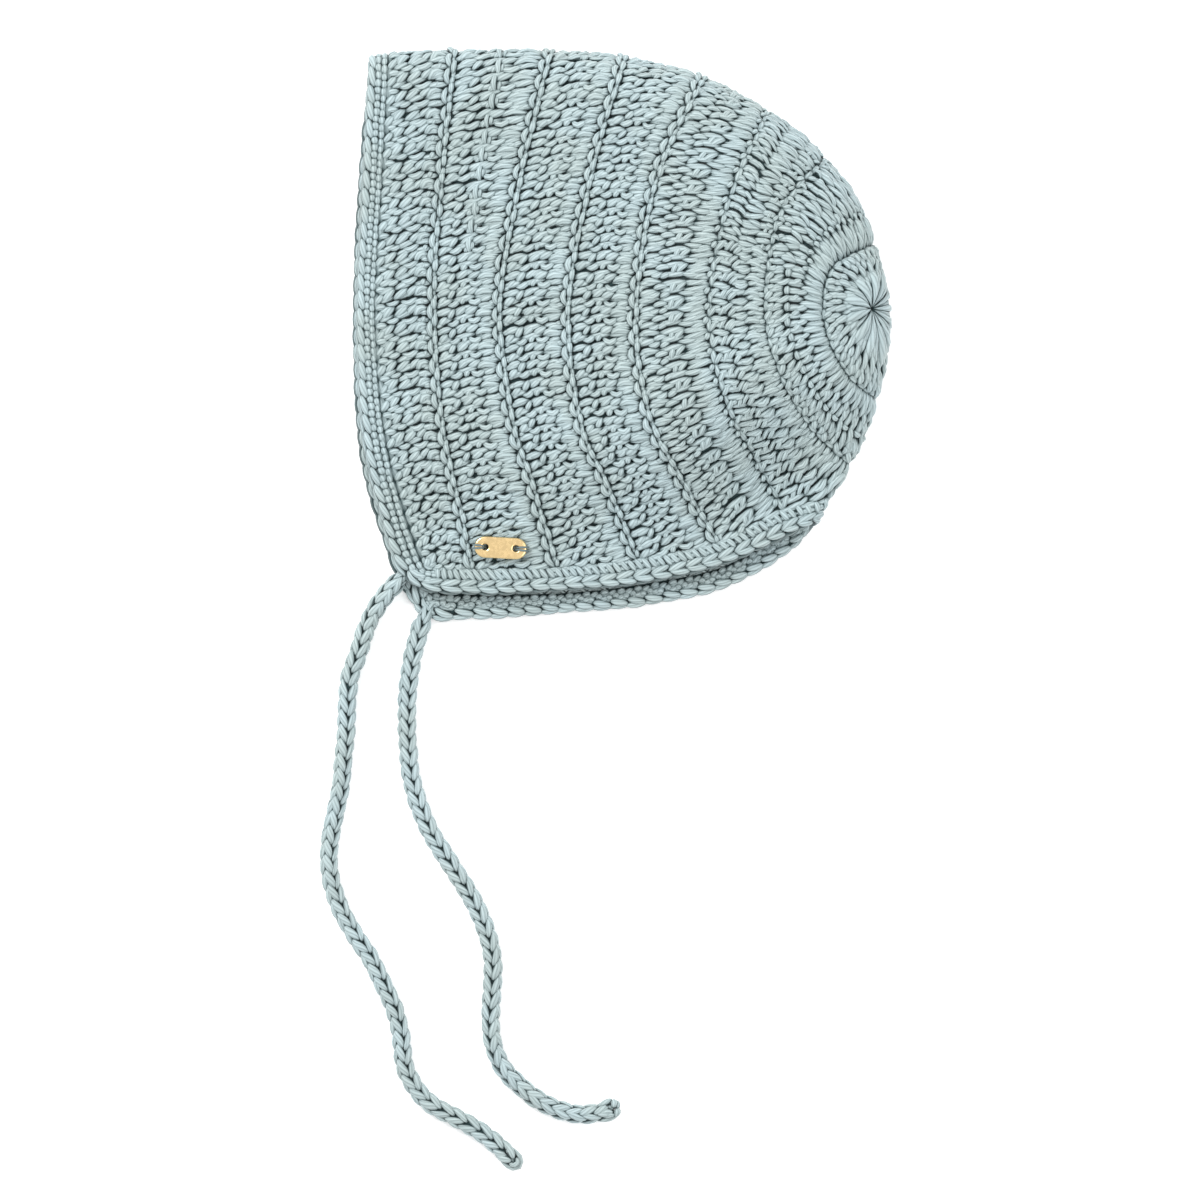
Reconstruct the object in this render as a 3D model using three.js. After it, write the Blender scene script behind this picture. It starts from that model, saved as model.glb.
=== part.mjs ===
// Baby's crochet bonnet laid flat on its side, in millimetres, +Z up.
// One curved wall of crochet turns over at the top and at the back of the head, so an upper
// layer lies over a lower one that rests on z = 0. The front edge looks to -X and the neck
// edge to -Y; both are open, and two cords leave the corners between them.
import * as THREE from "three";

// Driving dimensions
const WALL = 3.2; // thickness of the crochet
const GAP = 0.3; // clearance between neighbouring pieces
const RIB = 0.8; // height of the raised chain that ends a double row
const GROOVE = 0.5; // depth of the line between two rounds at the back
const REST = WALL / 2; // middle of the lower layer where it lies flat
const FRONT_LEVEL = 10.6; // middle of the upper layer at the front edge
const CROWN_LEVEL = 31; // middle of the upper layer at its highest
const NECK_LEVEL = 7; // middle of the upper layer at the neck edge
const NECK_RUN = 46; // how far from the neck edge the upper layer has its full height
const BAND = 6.8; // usual width of the edging
const CORD = 5; // diameter of the ties
const HALF_ROW = 28; // facets along a row on each layer
const ROW_GAP = 0.02; // half the clearance between the body and the crown, as a share of a row
const FRONT_GAP = 0.03; // clearance from the body to the front edging, as a share of a row
const NECK_GAP = 0.025; // clearance from the body to the neck edging, as a share of a station

const UPPER = 1;
const LOWER = -1;
const FRONT_ROW = 0; // the body's first line, where the edging begins
const NAPE_ROW = 5.5; // rows beyond it close into rounds
const CAP_ROW = 7; // the first round's outer line
const STAR_ROW = 8; // the centre that the rounds start from

// Plan of the lines between double rows on the upper layer. Stations 0 to 5 go from the neck
// edge, or from the back fold, up to the top fold. On the lower layer the neck end drops
// and the middle lies farther back by the last two columns.
const ROW_LINES = [
  {
    row: 0, drop: 7.2, under: 0,
    x: [-58.2, -65.1, -70.2, -73, -70.8, -68.7],
    y: [-70.2, -49.8, -27.3, 5.7, 43.2, 82.8],
  },
  {
    row: 1, drop: 7.2, under: 3,
    x: [-45, -49.8, -54.3, -56.2, -54.3, -50.1],
    y: [-70.8, -46.8, -23.4, 10.2, 41.7, 83.4],
  },
  {
    row: 2, drop: 7.2, under: 4.5,
    x: [-19.5, -26.7, -33, -36.3, -31.5, -21.3],
    y: [-70.5, -45.3, -24.3, 7.2, 40.2, 83.1],
  },
  {
    row: 3, drop: 7, under: 6,
    x: [4.8, -4.5, -12.3, -16, -9.9, 0.6],
    y: [-67.8, -45.3, -27, 5.7, 43.2, 81.3],
  },
  {
    row: 4, drop: 6.8, under: 8,
    x: [28.5, 17.4, 7.8, 4.2, 10.2, 24],
    y: [-62.7, -43.2, -24.3, 5.7, 45, 75.2],
  },
  {
    row: 5, drop: 4.5, under: 9.5,
    x: [48.6, 40.5, 30.6, 26.1, 31.2, 43.2],
    y: [-52.8, -38.4, -19.8, 5.7, 36.6, 65.4],
  },
  {
    row: 5.5, drop: 0, under: 11,
    x: [60.9, 49.8, 38.7, 34.7, 39, 52],
    y: [-49.2, -34.2, -16.2, 6.2, 35.7, 59.1],
  },
  {
    row: 6, drop: 0, under: 12,
    x: [67.8, 57, 47.1, 42.6, 46.8, 60.3],
    y: [-38.1, -28.2, -12.3, 6.6, 34.8, 51.3],
  },
  {
    row: 6.5, drop: 0, under: 12.6,
    x: [72.1, 62.6, 54.7, 51.2, 54.8, 69.6],
    y: [-28.4, -20.7, -8, 6.6, 27.2, 38.7],
  },
  {
    row: 7, drop: 0, under: 13,
    x: [75.2, 67.8, 62.1, 60, 62.7, 74.6],
    y: [-18.9, -12.9, -3.6, 6.6, 18.3, 25.2],
  },
];
const STATIONS = [0, 1, 2, 3, 4, 5];
const TOP_STATION = 5;
const DROP_SHARE = [1, 0.6, 0.25, 0, 0, 0]; // how much of the drop each station has
const DROP_LEAN = 0.4; // sideways part of the drop
const STAR = { x: 74.4, y: 6.9 };
const BACK_FOLD = { x: [77.4, 78.4, 78.6, 77.4], y: [15.3, 6.9, -0.3, -10.2] };

// Outer edge of the edging, on the upper and the lower layer. The place goes from the top
// fold (-5) down the front edge to the corner (0), and on along the neck to the nape (5.5).
const EDGE = {
  place: [-5, -4, -3, -2, -1, 0, 1, 2, 3, 4, 5, 5.5],
  upperX: [-75, -77.1, -78.6, -77.1, -72, -63.3, -43.2, -18.6, 6, 30.6, 50, 57],
  upperY: [81.2, 42.6, 5.7, -28.2, -52.8, -74.1, -77.7, -76.5, -74.4, -68.7, -60, -56.6],
  lowerX: [-75, -78.3, -79.7, -78.6, -73.5, -61.2, -43.2, -18.6, 6, 30.8, 50.7, 57],
  lowerY: [81.2, 42.6, 5.7, -28.2, -53.4, -82.5, -84.9, -83.1, -81, -75.6, -64.4, -56.6],
};

// Shape of the fold, by the share of its length from the front corner to the nape: the height
// of its crest, and how far in from it each layer reaches its own level.
const FOLD = {
  share: [0, 0.3, 0.6, 0.78, 0.92, 1],
  height: [6.1, 8.5, 12, 13, 8, 4.3],
  reachUp: [4.5, 16, 32, 38, 18, 3.4],
  reachDown: [4.5, 10, 16, 16, 10, 3.4],
};

// Routes of the two cords, from the edging to their ends: across, along and above the surface.
const CORD_REST = CORD / 2 + 0.05;
const UPPER_TIE = [
  [-65.5, -72.4, 7], [-69, -76.2, 6], [-72.8, -81, 4.3], [-75.9, -86.6, 3],
  [-79.2, -96.2, CORD_REST], [-81.7, -103.5, CORD_REST], [-82.5, -112.5, CORD_REST],
  [-82.8, -120, CORD_REST], [-83.6, -127.5, CORD_REST], [-84.3, -135, CORD_REST],
  [-85.8, -142.5, CORD_REST], [-87.3, -150, CORD_REST], [-88, -157.2, CORD_REST],
  [-87.3, -163.8, CORD_REST], [-84.7, -171.9, CORD_REST], [-80.2, -180.2, CORD_REST],
  [-75.7, -186.9, CORD_REST], [-72, -194.4, CORD_REST], [-68.3, -202.5, CORD_REST],
  [-66.4, -210, CORD_REST], [-65.3, -219, CORD_REST], [-62.3, -225.6, CORD_REST],
  [-57.1, -231, CORD_REST], [-50.4, -234.6, CORD_REST], [-43.6, -238.4, CORD_REST],
  [-37.7, -242.9, CORD_REST], [-34.6, -245.8, CORD_REST],
];
const LOWER_TIE = [
  [-59.2, -85.2, CORD_REST], [-60.8, -89.4, CORD_REST], [-63, -97.7, CORD_REST],
  [-64.2, -106.5, CORD_REST], [-64.5, -115.5, CORD_REST], [-64.2, -123.8, CORD_REST],
  [-63.4, -132, CORD_REST], [-61.5, -139.5, CORD_REST], [-57.9, -148.5, CORD_REST],
  [-53.4, -155.9, CORD_REST], [-48.1, -164.1, CORD_REST], [-44.4, -170.4, CORD_REST],
  [-41.1, -177.9, CORD_REST], [-38.8, -186.9, CORD_REST], [-38.8, -195.9, CORD_REST],
  [-39.3, -203.4, CORD_REST], [-38.8, -211.5, CORD_REST], [-36.2, -219, CORD_REST],
  [-30.3, -225.6, CORD_REST], [-22.8, -231, CORD_REST], [-13.8, -233.9, CORD_REST],
  [-7.2, -233.5, CORD_REST], [-4.4, -232.9, CORD_REST],
];

// Profiles of the cords' ends: radius and distance on from the tube.
const BLUNT_END = [[0, 0], [2.5, 0], [3.05, 2.2], [2.7, 4.6], [1.2, 5.9], [0, 6.1]];
const FLARED_END = [[0, 0], [2.5, 0], [3.4, 2.6], [3.4, 4], [0, 4.6]];

const YARN = new THREE.MeshStandardMaterial({ color: 0xbccbcc, roughness: 0.75, metalness: 0 });
const BRASS = new THREE.MeshStandardMaterial({ color: 0xd9ab5e, roughness: 0.3, metalness: 1 });

// Cubic through the values at the knots, its slopes taken from the neighbouring values.
function smooth(knots, values, at) {
  const last = knots.length - 1;
  let i = 0;
  while (i < last - 1 && at > knots[i + 1]) i += 1;
  const slope = (k) => {
    const before = Math.max(k - 1, 0);
    const after = Math.min(k + 1, last);
    return (values[after] - values[before]) / (knots[after] - knots[before]);
  };
  const span = knots[i + 1] - knots[i];
  const t = (at - knots[i]) / span;
  const rise = 3 * t * t - 2 * t * t * t;
  const pull = slope(i) * t * (1 - t) * (1 - t) - slope(i + 1) * t * t * (1 - t);
  return values[i] + (values[i + 1] - values[i]) * rise + pull * span;
}

function easeIn(share) {
  const t = THREE.MathUtils.clamp(share, 0, 1);
  return t * t * (3 - 2 * t);
}

const ROWS = ROW_LINES.map((line) => line.row);

function acrossRows(row, valueOf) {
  return smooth(ROWS, ROW_LINES.map(valueOf), row);
}

// Place of a row's station in plan, on either layer.
function rowPoint(row, station, side) {
  const point = new THREE.Vector2(
    acrossRows(row, (line) => smooth(STATIONS, line.x, station)),
    acrossRows(row, (line) => smooth(STATIONS, line.y, station)),
  );
  if (side === LOWER) {
    point.x += acrossRows(row, (line) => line.under) * Math.sin((Math.PI * station) / TOP_STATION);
    if (row < NAPE_ROW) {
      const drop = acrossRows(row, (line) => line.drop) * smooth(STATIONS, DROP_SHARE, station);
      point.x += DROP_LEAN * drop;
      point.y -= drop;
    }
  }
  return point;
}

// Place of the edging's outer edge in plan, on either layer.
function edgePoint(place, side) {
  const layer = side === UPPER ? "upper" : "lower";
  return new THREE.Vector2(
    smooth(EDGE.place, EDGE[`${layer}X`], place),
    smooth(EDGE.place, EDGE[`${layer}Y`], place),
  );
}

// Values from first to last, in the given number of equal steps.
function steps(first, last, count) {
  return Array.from({ length: count + 1 }, (_, k) => first + ((last - first) * k) / count);
}

// The same, but closer together at both ends, where the wall turns over.
function easedSteps(first, last, count) {
  return steps(0, Math.PI, count).map((turn) => first + ((last - first) * (1 - Math.cos(turn))) / 2);
}

// Lines of the grid: four for each double row, two of them close to its raised chain.
const BODY_ROWS = [FRONT_ROW + FRONT_GAP, 0.14, 0.5, 0.86];
for (const row of [1, 2, 3, 4, 5]) BODY_ROWS.push(row - 0.07, row, row + 0.07, row + 0.46);
BODY_ROWS.push(NAPE_ROW - ROW_GAP);
const ROUND_ROWS = [NAPE_ROW + ROW_GAP, 5.93, 6, 6.07, 6.5, 6.93, CAP_ROW];
const CAP_ROWS = [7.07, 7.4, 7.7, 7.92];

// The crest of the fold in plan, from the front corner over the top and down the back.
function foldLine() {
  const top = [edgePoint(EDGE.place[0], UPPER), rowPoint(FRONT_ROW, TOP_STATION, UPPER)];
  for (const row of [...BODY_ROWS, ...ROUND_ROWS]) top.push(rowPoint(row, TOP_STATION, UPPER));
  const start = top[top.length - 1];
  const end = rowPoint(CAP_ROW, 0, UPPER);
  const knots = [0, 1, 2, 3, 4, 5];
  const xs = [start.x, ...BACK_FOLD.x, end.x];
  const ys = [start.y, ...BACK_FOLD.y, end.y];
  const back = steps(0, 5, 15).slice(1)
    .map((at) => new THREE.Vector2(smooth(knots, xs, at), smooth(knots, ys, at)));
  const down = [...ROUND_ROWS].reverse().slice(1).map((row) => rowPoint(row, 0, UPPER));
  return [...top, ...back, ...down, rowPoint(NAPE_ROW, 0, UPPER), edgePoint(NAPE_ROW, UPPER)];
}

const FOLD_LINE = foldLine();
const NECK_LINE = steps(0, NAPE_ROW, 40).map((place) => edgePoint(place, UPPER));

// Distance from a point to a line of points, and the share of the line's length up to there.
function nearest(line, x, y) {
  let best = { away: Infinity, share: 0 };
  let run = 0;
  for (let k = 0; k < line.length - 1; k += 1) {
    const from = line[k];
    const dx = line[k + 1].x - from.x;
    const dy = line[k + 1].y - from.y;
    const long = Math.hypot(dx, dy);
    const t = long > 0 ? ((x - from.x) * dx + (y - from.y) * dy) / (long * long) : 0;
    const at = THREE.MathUtils.clamp(t, 0, 1);
    const away = Math.hypot(from.x + dx * at - x, from.y + dy * at - y);
    if (away < best.away) best = { away, share: run + long * at };
    run += long;
  }
  return { away: best.away, share: best.share / run };
}

// Height of the upper layer's middle, away from the fold: low at the front and neck edges.
function upperLevel(x, y) {
  const FIRST_X = -73;
  const FULL_X = 40;
  const along = FRONT_LEVEL + (CROWN_LEVEL - FRONT_LEVEL) * easeIn((x - FIRST_X) / (FULL_X - FIRST_X));
  const inward = easeIn((nearest(NECK_LINE, x, y).away - BAND) / NECK_RUN);
  return NECK_LEVEL + (along - NECK_LEVEL) * inward;
}

// Middle of the wall above a point of the plan: elliptical where the layers turn into the fold.
function middle(x, y, side) {
  const fold = nearest(FOLD_LINE, x, y);
  const crest = smooth(FOLD.share, FOLD.height, fold.share);
  const reach = smooth(FOLD.share, side === UPPER ? FOLD.reachUp : FOLD.reachDown, fold.share);
  const level = side === UPPER ? upperLevel(x, y) : REST;
  const in_ = 1 - Math.min(fold.away / reach, 1);
  return new THREE.Vector3(x, y, crest + (level - crest) * Math.sqrt(1 - in_ * in_));
}

// Distance round the back fold that a point in plan stands for, positive on the upper layer.
const WRAP = 15;
const BACK_LINE = FOLD_LINE.filter((p) => p.x > 70).sort((a, b) => a.y - b.y);

function backFoldX(y) {
  const last = BACK_LINE.length - 1;
  const at = THREE.MathUtils.clamp(y, BACK_LINE[0].y, BACK_LINE[last].y);
  let k = 0;
  while (k < last - 1 && at > BACK_LINE[k + 1].y) k += 1;
  const t = (at - BACK_LINE[k].y) / (BACK_LINE[k + 1].y - BACK_LINE[k].y);
  return BACK_LINE[k].x + (BACK_LINE[k + 1].x - BACK_LINE[k].x) * t;
}

function wrapOf(x, y, side) {
  const inset = Math.max(backFoldX(y) - x, 0);
  return (side * (inset + Math.sqrt(inset * inset + 4 * WRAP * inset))) / 2;
}

function unwrap(wrap, y) {
  const inset = (wrap * wrap) / (Math.abs(wrap) + WRAP);
  return middle(backFoldX(y) - inset, y, wrap >= 0 ? UPPER : LOWER);
}

// One line of the crochet: over the upper layer, round the fold and back along the lower one.
// Each point also keeps its distance round the back fold, for the rounds inside the last line.
function rowPath(row, firstStation) {
  const upper = easedSteps(firstStation, TOP_STATION, HALF_ROW);
  const lower = easedSteps(TOP_STATION, firstStation, HALF_ROW).slice(1);
  const pathOn = (side) => (station) => {
    const plan = rowPoint(row, station, side);
    return { at: middle(plan.x, plan.y, side), wrap: wrapOf(plan.x, plan.y, side) };
  };
  return [...upper.map(pathOn(UPPER)), ...lower.map(pathOn(LOWER))];
}

// Raised chains end the front rows; the rounds at the back are parted by grooves instead.
function relief(row) {
  const line = Math.round(row);
  const onLine = Math.max(0, 1 - Math.abs(row - line) / 0.07);
  if (line < 1 || line > CAP_ROW) return 0;
  return line <= 4 ? RIB * onLine : -GROOVE * onLine;
}

// Outward direction at each point of a grid whose rows go to the crown.
function outward(grid, round) {
  const lastRow = grid.length - 1;
  return grid.map((line, i) => line.map((_, j) => {
    const count = line.length;
    const next = round ? (j + 1) % count : Math.min(j + 1, count - 1);
    const back = round ? (j + count - 1) % count : Math.max(j - 1, 0);
    const onward = grid[Math.min(i + 1, lastRow)][j].clone().sub(grid[Math.max(i - 1, 0)][j]);
    const along = line[next].clone().sub(line[back]);
    return onward.cross(along).normalize();
  }));
}

// Closed wall round a grid of middle points: the outer face carries the relief, and what
// would reach below the surface it rests on is flattened. A tip closes it at the star.
function wall(grid, rows, round, tip) {
  const normals = outward(grid, round);
  const count = grid[0].length;
  const faces = [];
  const points = [];
  const place = (point, normal, away) => {
    const p = point.clone().addScaledVector(normal, away);
    points.push(p.x, p.y, Math.max(p.z, 0));
  };
  grid.forEach((line, i) => line.forEach((p, j) => place(p, normals[i][j], WALL / 2 + relief(rows[i]))));
  grid.forEach((line, i) => line.forEach((p, j) => place(p, normals[i][j], -WALL / 2)));
  const inner = grid.length * count;
  const quad = (a, b, c, d) => faces.push(a, b, c, a, c, d);
  const columns = round ? count : count - 1;
  const last = grid.length - 1;
  const id = (i, j) => i * count + (j % count);
  for (let j = 0; j < columns; j += 1) {
    for (let i = 0; i < last; i += 1) {
      quad(id(i, j), id(i + 1, j), id(i + 1, j + 1), id(i, j + 1));
      quad(inner + id(i, j), inner + id(i, j + 1), inner + id(i + 1, j + 1), inner + id(i + 1, j));
    }
    quad(id(0, j), id(0, j + 1), inner + id(0, j + 1), inner + id(0, j));
    if (!tip) quad(id(last, j + 1), id(last, j), inner + id(last, j), inner + id(last, j + 1));
  }
  if (!round) {
    for (let i = 0; i < last; i += 1) {
      const end = count - 1;
      quad(id(i + 1, 0), id(i, 0), inner + id(i, 0), inner + id(i + 1, 0));
      quad(id(i, end), id(i + 1, end), inner + id(i + 1, end), inner + id(i, end));
    }
  }
  if (tip) {
    const normal = normals[last].reduce((sum, n) => sum.add(n), new THREE.Vector3()).normalize();
    place(tip, normal, WALL / 2);
    place(tip, normal, -WALL / 2);
    const out = 2 * inner;
    for (let j = 0; j < count; j += 1) {
      faces.push(id(last, j + 1), id(last, j), out);
      faces.push(inner + id(last, j), inner + id(last, j + 1), out + 1);
    }
  }
  return solid(points, faces);
}

function solid(points, faces) {
  const geometry = new THREE.BufferGeometry();
  geometry.setAttribute("position", new THREE.Float32BufferAttribute(points, 3));
  geometry.setIndex(faces);
  geometry.computeVertexNormals();
  return geometry;
}

// The rows from the edging to the nape, open along the neck edge.
function bodyGeometry() {
  const grid = BODY_ROWS.map((row) => {
    const firstStation = NECK_GAP * (1 + 2 * Math.max(row - 5, 0));
    return rowPath(row, firstStation).map((step) => step.at);
  });
  return wall(grid, BODY_ROWS, false, null);
}

// The rounds at the back of the head, closed to the star.
function crownGeometry() {
  const rounds = ROUND_ROWS.map((row) => rowPath(row, 0).slice(0, -1));
  const rim = rounds[rounds.length - 1];
  const starWrap = wrapOf(STAR.x, STAR.y, UPPER);
  const cap = CAP_ROWS.map((row) => rim.map((step) => {
    const share = STAR_ROW - row;
    return unwrap(starWrap + (step.wrap - starWrap) * share, STAR.y + (step.at.y - STAR.y) * share);
  }));
  const grid = [...rounds.map((round) => round.map((step) => step.at)), ...cap];
  return wall(grid, [...ROUND_ROWS, ...CAP_ROWS], true, unwrap(starWrap, STAR.y));
}

// The band round the front edge and the neck edge: one loop of rounded section.
function edgingGeometry() {
  const FRONT_STEPS = 26;
  const NECK_STEPS = 30;
  const THICK = WALL + 0.2;
  const ROUNDING = 1.1;
  const stations = [];
  const front = easedSteps(EDGE.place[0], 0, FRONT_STEPS).slice(0, -1);
  const neck = easedSteps(0, NAPE_ROW, NECK_STEPS);
  const round = [...front, ...neck];
  for (const side of [UPPER, LOWER]) {
    const places = side === UPPER ? round.slice(0, -1) : [...round].reverse().slice(0, -1);
    for (const place of places) {
      const hem = place < 0 ? rowPoint(FRONT_ROW, -place, side) : rowPoint(place, 0, side);
      const rim = edgePoint(place, side);
      stations.push({ hem: middle(hem.x, hem.y, side), rim: middle(rim.x, rim.y, side) });
    }
  }
  const count = stations.length;
  const points = [];
  stations.forEach(({ hem, rim }, k) => {
    const ahead = stations[(k + 1) % count];
    const behind = stations[(k + count - 1) % count];
    const along = ahead.hem.clone().add(ahead.rim).sub(behind.hem).sub(behind.rim);
    const across = rim.clone().sub(hem);
    const reach = across.length();
    across.normalize();
    const up = across.clone().cross(along.normalize());
    const clear = (1.3 * GAP) / up.length();
    const width = reach - clear;
    up.normalize();
    const half = THICK / 2;
    const section = [
      [0, half], [width - ROUNDING, half], [width, half - ROUNDING],
      [width, ROUNDING - half], [width - ROUNDING, -half], [0, -half],
    ];
    for (const [out, high] of section) {
      const p = hem.clone().addScaledVector(across, clear + out).addScaledVector(up, high);
      points.push(p.x, p.y, Math.max(p.z, 0));
    }
  });
  const sides = points.length / 3 / count;
  const faces = [];
  for (let k = 0; k < count; k += 1) {
    for (let s = 0; s < sides; s += 1) {
      const a = k * sides + s;
      const b = k * sides + ((s + 1) % sides);
      const c = ((k + 1) % count) * sides + ((s + 1) % sides);
      const d = ((k + 1) % count) * sides + s;
      faces.push(a, b, c, a, c, d);
    }
  }
  return solid(points, faces);
}

// A cord along its route, as one tube.
function cordGeometry(route) {
  const SIDES = 10;
  const curve = new THREE.CatmullRomCurve3(route.map((p) => new THREE.Vector3(...p)));
  const section = new THREE.Shape(steps(0, 2 * Math.PI, SIDES).slice(0, SIDES)
    .map((turn) => new THREE.Vector2((CORD / 2) * Math.cos(turn), (CORD / 2) * Math.sin(turn))));
  const STEP = 2.2 * CORD;
  const count = Math.round(curve.getLength() / STEP);
  return new THREE.ExtrudeGeometry(section, { steps: count, extrudePath: curve, bevelEnabled: false });
}

// The finished end of a cord: a short body of revolution that goes on from the tube.
function cordEnd(name, route, profile) {
  const last = new THREE.Vector3(...route[route.length - 1]);
  const before = new THREE.Vector3(...route[route.length - 2]);
  const ahead = last.clone().sub(before).setZ(0).normalize();
  const widest = Math.max(...profile.map(([radius]) => radius));
  const outline = profile.map(([radius, along]) => new THREE.Vector2(radius, along));
  const mesh = new THREE.Mesh(new THREE.LatheGeometry(outline, 12), YARN);
  mesh.name = name;
  mesh.quaternion.setFromUnitVectors(new THREE.Vector3(0, 1, 0), ahead);
  mesh.position.copy(last).addScaledVector(ahead, GAP).setZ(widest + 0.02);
  return mesh;
}

// The small gold plate: a bar with round ends and two sewing holes.
function tagMesh() {
  const LENGTH = 15.6;
  const HEIGHT = 6.4;
  const THICKNESS = 1.4;
  const HOLE = 0.9;
  const PLACE = new THREE.Vector2(-36.3, -64.2);
  const TURN = -3;
  const half = LENGTH / 2 - HEIGHT / 2;
  const outline = new THREE.Shape();
  outline.absarc(half, 0, HEIGHT / 2, -Math.PI / 2, Math.PI / 2, false);
  outline.absarc(-half, 0, HEIGHT / 2, Math.PI / 2, (3 * Math.PI) / 2, false);
  for (const x of [-half, half]) {
    outline.holes.push(new THREE.Path().absarc(x, 0, HOLE, 0, 2 * Math.PI, true));
  }
  const making = { depth: THICKNESS, bevelEnabled: false, curveSegments: 10 };
  const plate = new THREE.ExtrudeGeometry(outline, making);
  const mesh = new THREE.Mesh(plate, BRASS);
  mesh.name = "metal_tag";
  const corners = [-LENGTH / 2, LENGTH / 2].flatMap((dx) => [-HEIGHT / 2, HEIGHT / 2]
    .map((dy) => upperLevel(PLACE.x + dx, PLACE.y + dy)));
  mesh.position.set(PLACE.x, PLACE.y, Math.max(...corners) + WALL / 2 + GAP);
  mesh.rotation.z = THREE.MathUtils.degToRad(TURN);
  return mesh;
}

function pieceOf(name, geometry) {
  const mesh = new THREE.Mesh(geometry, YARN);
  mesh.name = name;
  return mesh;
}

const bonnet = new THREE.Group();
bonnet.add(pieceOf("crown", crownGeometry()));
bonnet.add(pieceOf("body", bodyGeometry()));
bonnet.add(pieceOf("edging", edgingGeometry()));
bonnet.add(pieceOf("tie_upper", cordGeometry(UPPER_TIE)));
bonnet.add(pieceOf("tie_lower", cordGeometry(LOWER_TIE)));
bonnet.add(cordEnd("tie_end_upper", UPPER_TIE, BLUNT_END));
bonnet.add(cordEnd("tie_end_lower", LOWER_TIE, FLARED_END));
bonnet.add(tagMesh());

export default bonnet;
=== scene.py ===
import math

import bmesh
import bpy
import numpy as np
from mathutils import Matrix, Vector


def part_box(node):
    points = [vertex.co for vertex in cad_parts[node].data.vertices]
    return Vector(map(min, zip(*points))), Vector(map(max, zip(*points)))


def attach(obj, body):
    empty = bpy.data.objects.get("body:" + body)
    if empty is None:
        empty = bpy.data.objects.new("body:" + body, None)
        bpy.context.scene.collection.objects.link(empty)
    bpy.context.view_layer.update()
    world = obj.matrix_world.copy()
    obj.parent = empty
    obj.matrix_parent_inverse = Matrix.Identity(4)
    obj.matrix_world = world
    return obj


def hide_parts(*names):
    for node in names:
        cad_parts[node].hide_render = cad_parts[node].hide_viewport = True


# Baby's crochet bonnet laid flat on its side. Lengths are in millimetres in this script, and
# become metres where a mesh is made. Every visible strand of yarn is a closed tube.
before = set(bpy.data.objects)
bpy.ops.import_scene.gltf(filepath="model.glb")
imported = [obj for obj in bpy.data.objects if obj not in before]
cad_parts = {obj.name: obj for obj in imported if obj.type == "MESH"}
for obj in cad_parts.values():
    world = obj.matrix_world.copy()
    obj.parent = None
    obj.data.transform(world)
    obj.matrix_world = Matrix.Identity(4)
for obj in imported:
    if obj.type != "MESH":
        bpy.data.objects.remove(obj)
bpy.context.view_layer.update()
MM = 0.001
CHANCE = np.random.default_rng(7)

# Main sizes, as in the solids. Rows are counted from the front edge to the star of the crown.
WALL = 3.2
FRONT_LEVEL = 10.6
CROWN_LEVEL = 31.0
RISE_START = -73.0
RISE_END = 40.0
NECK_LEVEL = 7.0
NECK_RUN = 46.0
BAND = 6.8
CORD = 5.0
UPPER = 1
LOWER = -1
NAPE_ROW = 5.5
CAP_ROW = 7.0
STAR_ROW = 8

# Lines between the double rows: row, drop, under, then x and y at stations 0 to 5
ROW_LINES = [
    (0, 7.2, 0, [-58.2, -65.1, -70.2, -73, -70.8, -68.7], [-70.2, -49.8, -27.3, 5.7, 43.2, 82.8]),
    (1, 7.2, 3, [-45, -49.8, -54.3, -56.2, -54.3, -50.1], [-70.8, -46.8, -23.4, 10.2, 41.7, 83.4]),
    (2, 7.2, 4.5, [-19.5, -26.7, -33, -36.3, -31.5, -21.3], [-70.5, -45.3, -24.3, 7.2, 40.2, 83.1]),
    (3, 7, 6, [4.8, -4.5, -12.3, -16, -9.9, 0.6], [-67.8, -45.3, -27, 5.7, 43.2, 81.3]),
    (4, 6.8, 8, [28.5, 17.4, 7.8, 4.2, 10.2, 24], [-62.7, -43.2, -24.3, 5.7, 45, 75.2]),
    (5, 4.5, 9.5, [48.6, 40.5, 30.6, 26.1, 31.2, 43.2], [-52.8, -38.4, -19.8, 5.7, 36.6, 65.4]),
    (5.5, 0, 11, [60.9, 49.8, 38.7, 34.7, 39, 52], [-49.2, -34.2, -16.2, 6.2, 35.7, 59.1]),
    (6, 0, 12, [67.8, 57, 47.1, 42.6, 46.8, 60.3], [-38.1, -28.2, -12.3, 6.6, 34.8, 51.3]),
    (6.5, 0, 12.6, [72.1, 62.6, 54.7, 51.2, 54.8, 69.6], [-28.4, -20.7, -8, 6.6, 27.2, 38.7]),
    (7, 0, 13, [75.2, 67.8, 62.1, 60, 62.7, 74.6], [-18.9, -12.9, -3.6, 6.6, 18.3, 25.2]),
]
STATIONS = [0, 1, 2, 3, 4, 5]
DROP_SHARE = [1, 0.6, 0.25, 0, 0, 0]
DROP_LEAN = 0.4
STAR = (74.4, 6.9)
BACK_FOLD_X = [77.4, 78.4, 78.6, 77.4]
BACK_FOLD_Y = [15.3, 6.9, -0.3, -10.2]

# Outer edge of the edging on the two layers, by place: top fold -5, corner 0, nape 5.5
EDGE_PLACE = [-5, -4, -3, -2, -1, 0, 1, 2, 3, 4, 5, 5.5]
EDGE = {
    UPPER: ([-75, -77.1, -78.6, -77.1, -72, -63.3, -43.2, -18.6, 6, 30.6, 50, 57],
            [81.2, 42.6, 5.7, -28.2, -52.8, -74.1, -77.7, -76.5, -74.4, -68.7, -60, -56.6]),
    LOWER: ([-75, -78.3, -79.7, -78.6, -73.5, -61.2, -43.2, -18.6, 6, 30.8, 50.7, 57],
            [81.2, 42.6, 5.7, -28.2, -53.4, -82.5, -84.9, -83.1, -81, -75.6, -64.4, -56.6]),
}

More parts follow.
